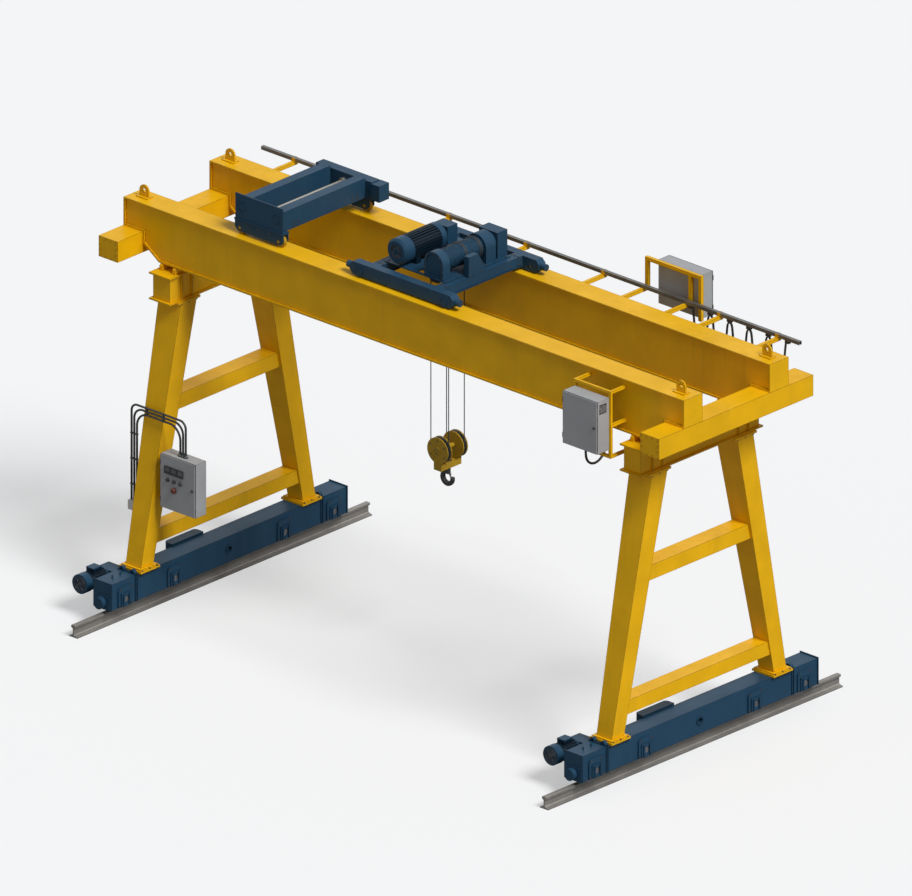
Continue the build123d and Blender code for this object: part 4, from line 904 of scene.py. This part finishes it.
def addDrives():
    lids, screws, gear = [], [], []
    top, middle = motors["z"] + lid["up"], (lid["frontY"] + lid["backY"]) / 2
    for side, hand in zip(sides, ("left", "right")):
        x = side * model["spanHalf"] - motors["aside"]
        addFanGuard(f"travelGuard_{hand}", (x, motors["frontY"] - motors["guardOut"], motors["z"]),
                    motors["guardRings"], "gantry")
        lids.append(((x - lid["half"], lid["frontY"], top - lid["low"]),
                     (x + lid["half"], lid["backY"], top + lid["high"])))
        screws += [(x + i * lid["screwX"], middle + j * lid["screwY"], top + lid["high"])
                   for i in sides for j in sides]
        gear += [(side * model["spanHalf"] - gearbox["out"], gearbox["y"] + dy, gearbox["z"] + dz)
                 for dy, dz in gearbox["places"]]
    x, y, z = motors["hoist"]
    addFanGuard("hoistGuard", (x, y + motors["hoistGuardIn"], z), motors["hoistRings"], "crab")
    boxesPiece("terminalLids", lids, "blue_paint", "gantry", lid["bevel"])
    boltSet("terminalScrews", screws, "Z", lid["screw"], "gantry")
    boltSet("gearboxBolts", gear, "X", gearbox["size"], "gantry")


# bolts of the crab, the trolley and the hook block

crab = {
    "top": 5.657, "beamX": 0.560, "beamFace": 0.075,
    "deckX": 0.515, "deckY": 0.585, "deckTop": 5.669, "deckCount": 7, "deckSpread": 6.2,
    "deckSize": (0.010, 0.012),
    "crossStep": 0.050, "crossY": 0.690, "crossSize": (0.011, 0.014),
    "jointY": 0.715, "jointZ": 5.590, "jointSteps": ((-0.045, 0.0), (-0.035, 0.035)),
    "jointSize": (0.011, 0.013),
    "limitY": -0.130, "limitSteps": ((-0.105, 0.105), (0.030, 0.150)),
    "limitSize": (0.0085, 0.010),
    "archRadius": 0.152, "archY": -0.608, "archLegs": (5.705, 5.790), "archSize": (0.0080, 0.009),
    "archAngles": (0.15, 0.85, math.pi / 2, math.pi - 0.85, math.pi - 0.15),
    "noseX": 1.004, "noseZ": 5.567, "noseStep": 0.020, "noseSize": (0.006, 0.006),
}


def addCrabBolts():
    step = crab["deckY"] * 2 / crab["deckSpread"]
    places = [(crabX + side * crab["deckX"], (i - crab["deckCount"] // 2) * step, crab["deckTop"])
              for side in sides for i in range(crab["deckCount"])]
    boltSet("deckBolts", places, "Z", crab["deckSize"], "crab")
    beams = [(crabX + side * crab["beamX"] + i * crab["crossStep"], end * crab["crossY"],
              crab["top"]) for side in sides for end in sides for i in (-1, 0, 1)]
    boltSet("crossBeamBolts", beams, "Z", crab["crossSize"], "crab")
    face = crabX + crab["beamX"] + crab["beamFace"]
    joints = [(face, end * crab["jointY"] + dy, crab["jointZ"] + dz) for end in sides
              for dy in crab["jointSteps"][0] for dz in crab["jointSteps"][1]]
    boltSet("crossJointBolts", joints, "X", crab["jointSize"], "crab")
    limit = [(face, crab["limitY"] + dy, crab["top"] + dz) for dy in crab["limitSteps"][0]
             for dz in crab["limitSteps"][1]]
    boltSet("limitBoxBolts", limit, "X", crab["limitSize"], "crab")
    r, y = crab["archRadius"], crab["archY"]
    arch = [(drumX + r * math.cos(a), y, drumZ + r * math.sin(a)) for a in crab["archAngles"]]
    arch += [(drumX + i * r, y, z) for i in sides for z in crab["archLegs"]]
    boltSet("gearcaseBolts", arch, "Y", crab["archSize"], "crab")
    noses = [(crabX + side * crab["noseX"], end * model["gaugeHalf"] + i * crab["noseStep"],
              crab["noseZ"]) for side in sides for end in sides for i in sides]
    boltSet("bufferScrews", noses, "X", crab["noseSize"], "crab")


trolley = {"x": -2.7, "beamX": 0.385, "beamY": (-0.62, -0.54, 0.50, 0.60),
           "beamZ": (5.705, 5.745), "beamSize": (0.010, 0.012), "lipStep": 0.190,
           "lipOut": 0.053, "lipZ": 5.600, "lipSize": (0.011, 0.012)}


def addTrolleyBolts():
    places = [(trolley["x"] + side * trolley["beamX"], y, z) for side in sides
              for y in trolley["beamY"] for z in trolley["beamZ"]]
    boltSet("trolleyBeamBolts", places, "X", trolley["beamSize"], "trolley")
    lip = [(trolley["x"] + i * trolley["lipStep"], -model["gaugeHalf"] - trolley["lipOut"],
            trolley["lipZ"]) for i in (-1, 0, 1)]
    boltSet("trolleyBogieBolts", lip, "Y", trolley["lipSize"], "trolley")


hookBlock = {"out": 0.045, "size": (0.0075, 0.010), "rimRadius": 0.140,
             "rimAngles": (30, 90, 150, 210, 330), "capRadius": 0.034, "capTurn": 0.5,
             "capCount": 3, "capProud": 0.010,
             "cap": ((0.058, 0), (0.058, 0.006), (0.048, 0.010), (0.020, 0.011))}


def addHookDetails():
    # caps and bolts on the outer cheeks
    bm = bmesh.new()
    places = []
    for end in sides:
        y = end * (fallY + hookBlock["out"])
        addDisc(bm, (crabX, y, hookZ), "Y",
                [(radius, -end * out) for radius, out in hookBlock["cap"]])
        rim, cap = hookBlock["rimRadius"], hookBlock["capRadius"]
        for degrees in hookBlock["rimAngles"]:
            a = math.radians(degrees)
            places.append((crabX + rim * math.cos(a), y, hookZ + rim * math.sin(a)))
        y += end * hookBlock["capProud"]
        for k in range(hookBlock["capCount"]):
            a = hookBlock["capTurn"] + 2 * math.pi * k / hookBlock["capCount"]
            places.append((crabX + cap * math.cos(a), y, hookZ + cap * math.sin(a)))
    bmPiece("axleCaps", bm, finishes["ochre_paint"], "hook_block")
    boltSet("blockBolts", places, "Y", hookBlock["size"], "hook_block")


addRopes()
addDrumTurns()
addDrives()
addCrabBolts()
addTrolleyBolts()
addHookDetails()
print("ropes strung, drives and crab detailed")


# cables: the routes of the model source, in metres

festoon = {"first": 2.850, "pitch": 0.345, "loops": 5, "depth": 0.720, "thick": 0.014,
           "width": 0.036, "cores": 4, "coreAngles": (-0.9, 0, 0.9), "coreShare": 0.95,
           "coreRound": 0.8}
# along a loop as a share of the pitch, down as a share of the depth
loopShares = (
    (0.10, 0), (0.155, -0.20), (0.20, -0.46), (0.255, -0.70), (0.33, -0.87),
    (0.41, -0.965), (0.59, -0.965), (0.67, -0.87), (0.745, -0.70), (0.80, -0.46),
    (0.845, -0.20), (0.90, 0),
)

curveForm = {"steps": 8, "bevelSteps": 4}


def nurbsCurve(name, points, bevel=0.0):
    data = bpy.data.curves.new(name, "CURVE")
    data.dimensions = "3D"
    data.resolution_u = curveForm["steps"]
    data.bevel_depth = bevel
    data.bevel_resolution = curveForm["bevelSteps"]
    data.use_fill_caps = True
    spline = data.splines.new("NURBS")
    spline.points.add(len(points) - 1)
    for slot, point in zip(spline.points, points):
        slot.co = (*point, 1)
    spline.order_u = 3
    spline.use_endpoint_u = True
    return linkObject(name, data)


def readLine(name, points):
    # the curve's own line, from a guide that is removed again
    guide = nurbsCurve(name, points)
    mesh = bpy.data.meshes.new_from_object(guide)
    line = [v.co.copy() for v in mesh.vertices]
    bpy.data.meshes.remove(mesh)
    bpy.data.objects.remove(guide)
    return line


def lineLength(line):
    return sum((b - a).length for a, b in zip(line, line[1:]))


def jacketSection():
    # a flat jacket with its cores showing as soft ridges
    halfW, halfT = festoon["width"] / 2, festoon["thick"] / 2
    core = halfW / festoon["cores"]
    section = []
    for k in range(festoon["cores"]):
        centre = -halfW + core + 2 * k * core
        for a in festoon["coreAngles"]:
            section.append((centre + math.sin(a) * core * festoon["coreShare"],
                            halfT * math.cos(a * festoon["coreRound"])))
    return section + [(w, -t) for w, t in reversed(section)]


def addFestoonCable():
    low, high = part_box("festoon_cable")
    y = (low[1] + high[1]) / 2
    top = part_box("festoon_hangers")[0][2] - festoon["thick"] / 2
    points = [(festoon["first"] + (n + along) * festoon["pitch"], y, top + down * festoon["depth"])
              for n in range(festoon["loops"]) for along, down in loopShares]
    line = readLine("festoonGuide", points)
    section = jacketSection()
    bm = bmesh.new()
    rings = []
    for i, point in enumerate(line):
        along = (line[min(i + 1, len(line) - 1)] - line[max(i - 1, 0)]).normalized()
        normal = along.cross(Vector((0, 1, 0))).normalized()
        rings.append([bm.verts.new(point + Vector((0, w, 0)) + normal * t) for w, t in section])
    joinRings(bm, rings)
    bmesh.ops.recalc_face_normals(bm, faces=bm.faces)
    cable = bmPiece("festoonCable", bm, finishes["cable_black"], "gantry",
                    smooth=True)
    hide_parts("festoon_cable")
    print("festoon cable", round(lineLength(line), 3), "m")


supply = {
    "radius": 0.017, "glandIn": 0.120, "lastUp": 0.060,
    # y and z from the cabinet's gland
    "route": ((0, 0), (0, -0.090), (0.022, -0.165), (0.075, -0.225), (0.150, -0.255),
              (0.235, -0.250), (0.315, -0.205), (0.370, -0.135), (0.395, -0.045)),
}


def addSupplyCable():
    x = mid("cabinet_cable").x
    y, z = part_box("cabinet_front")[1][1] - supply["glandIn"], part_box("cabinet_front")[0][2]
    yGland, zEnd = mid("girder_gland").y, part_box("girder_gland")[0][2]
    points = [(x, y + dy, z + dz) for dy, dz in supply["route"]]
    points += [(x, yGland, z + supply["lastUp"]), (x, yGland, zEnd)]
    cable = nurbsCurve("supplyCable", points, supply["radius"])
    cable.data.materials.append(finishes["cable_black"])
    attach(cable, "gantry")
    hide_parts("cabinet_cable")
    line = readLine("supplyGuide", points)
    print("supply cable", round(lineLength(line), 3), "m")


addFestoonCable()
addSupplyCable()
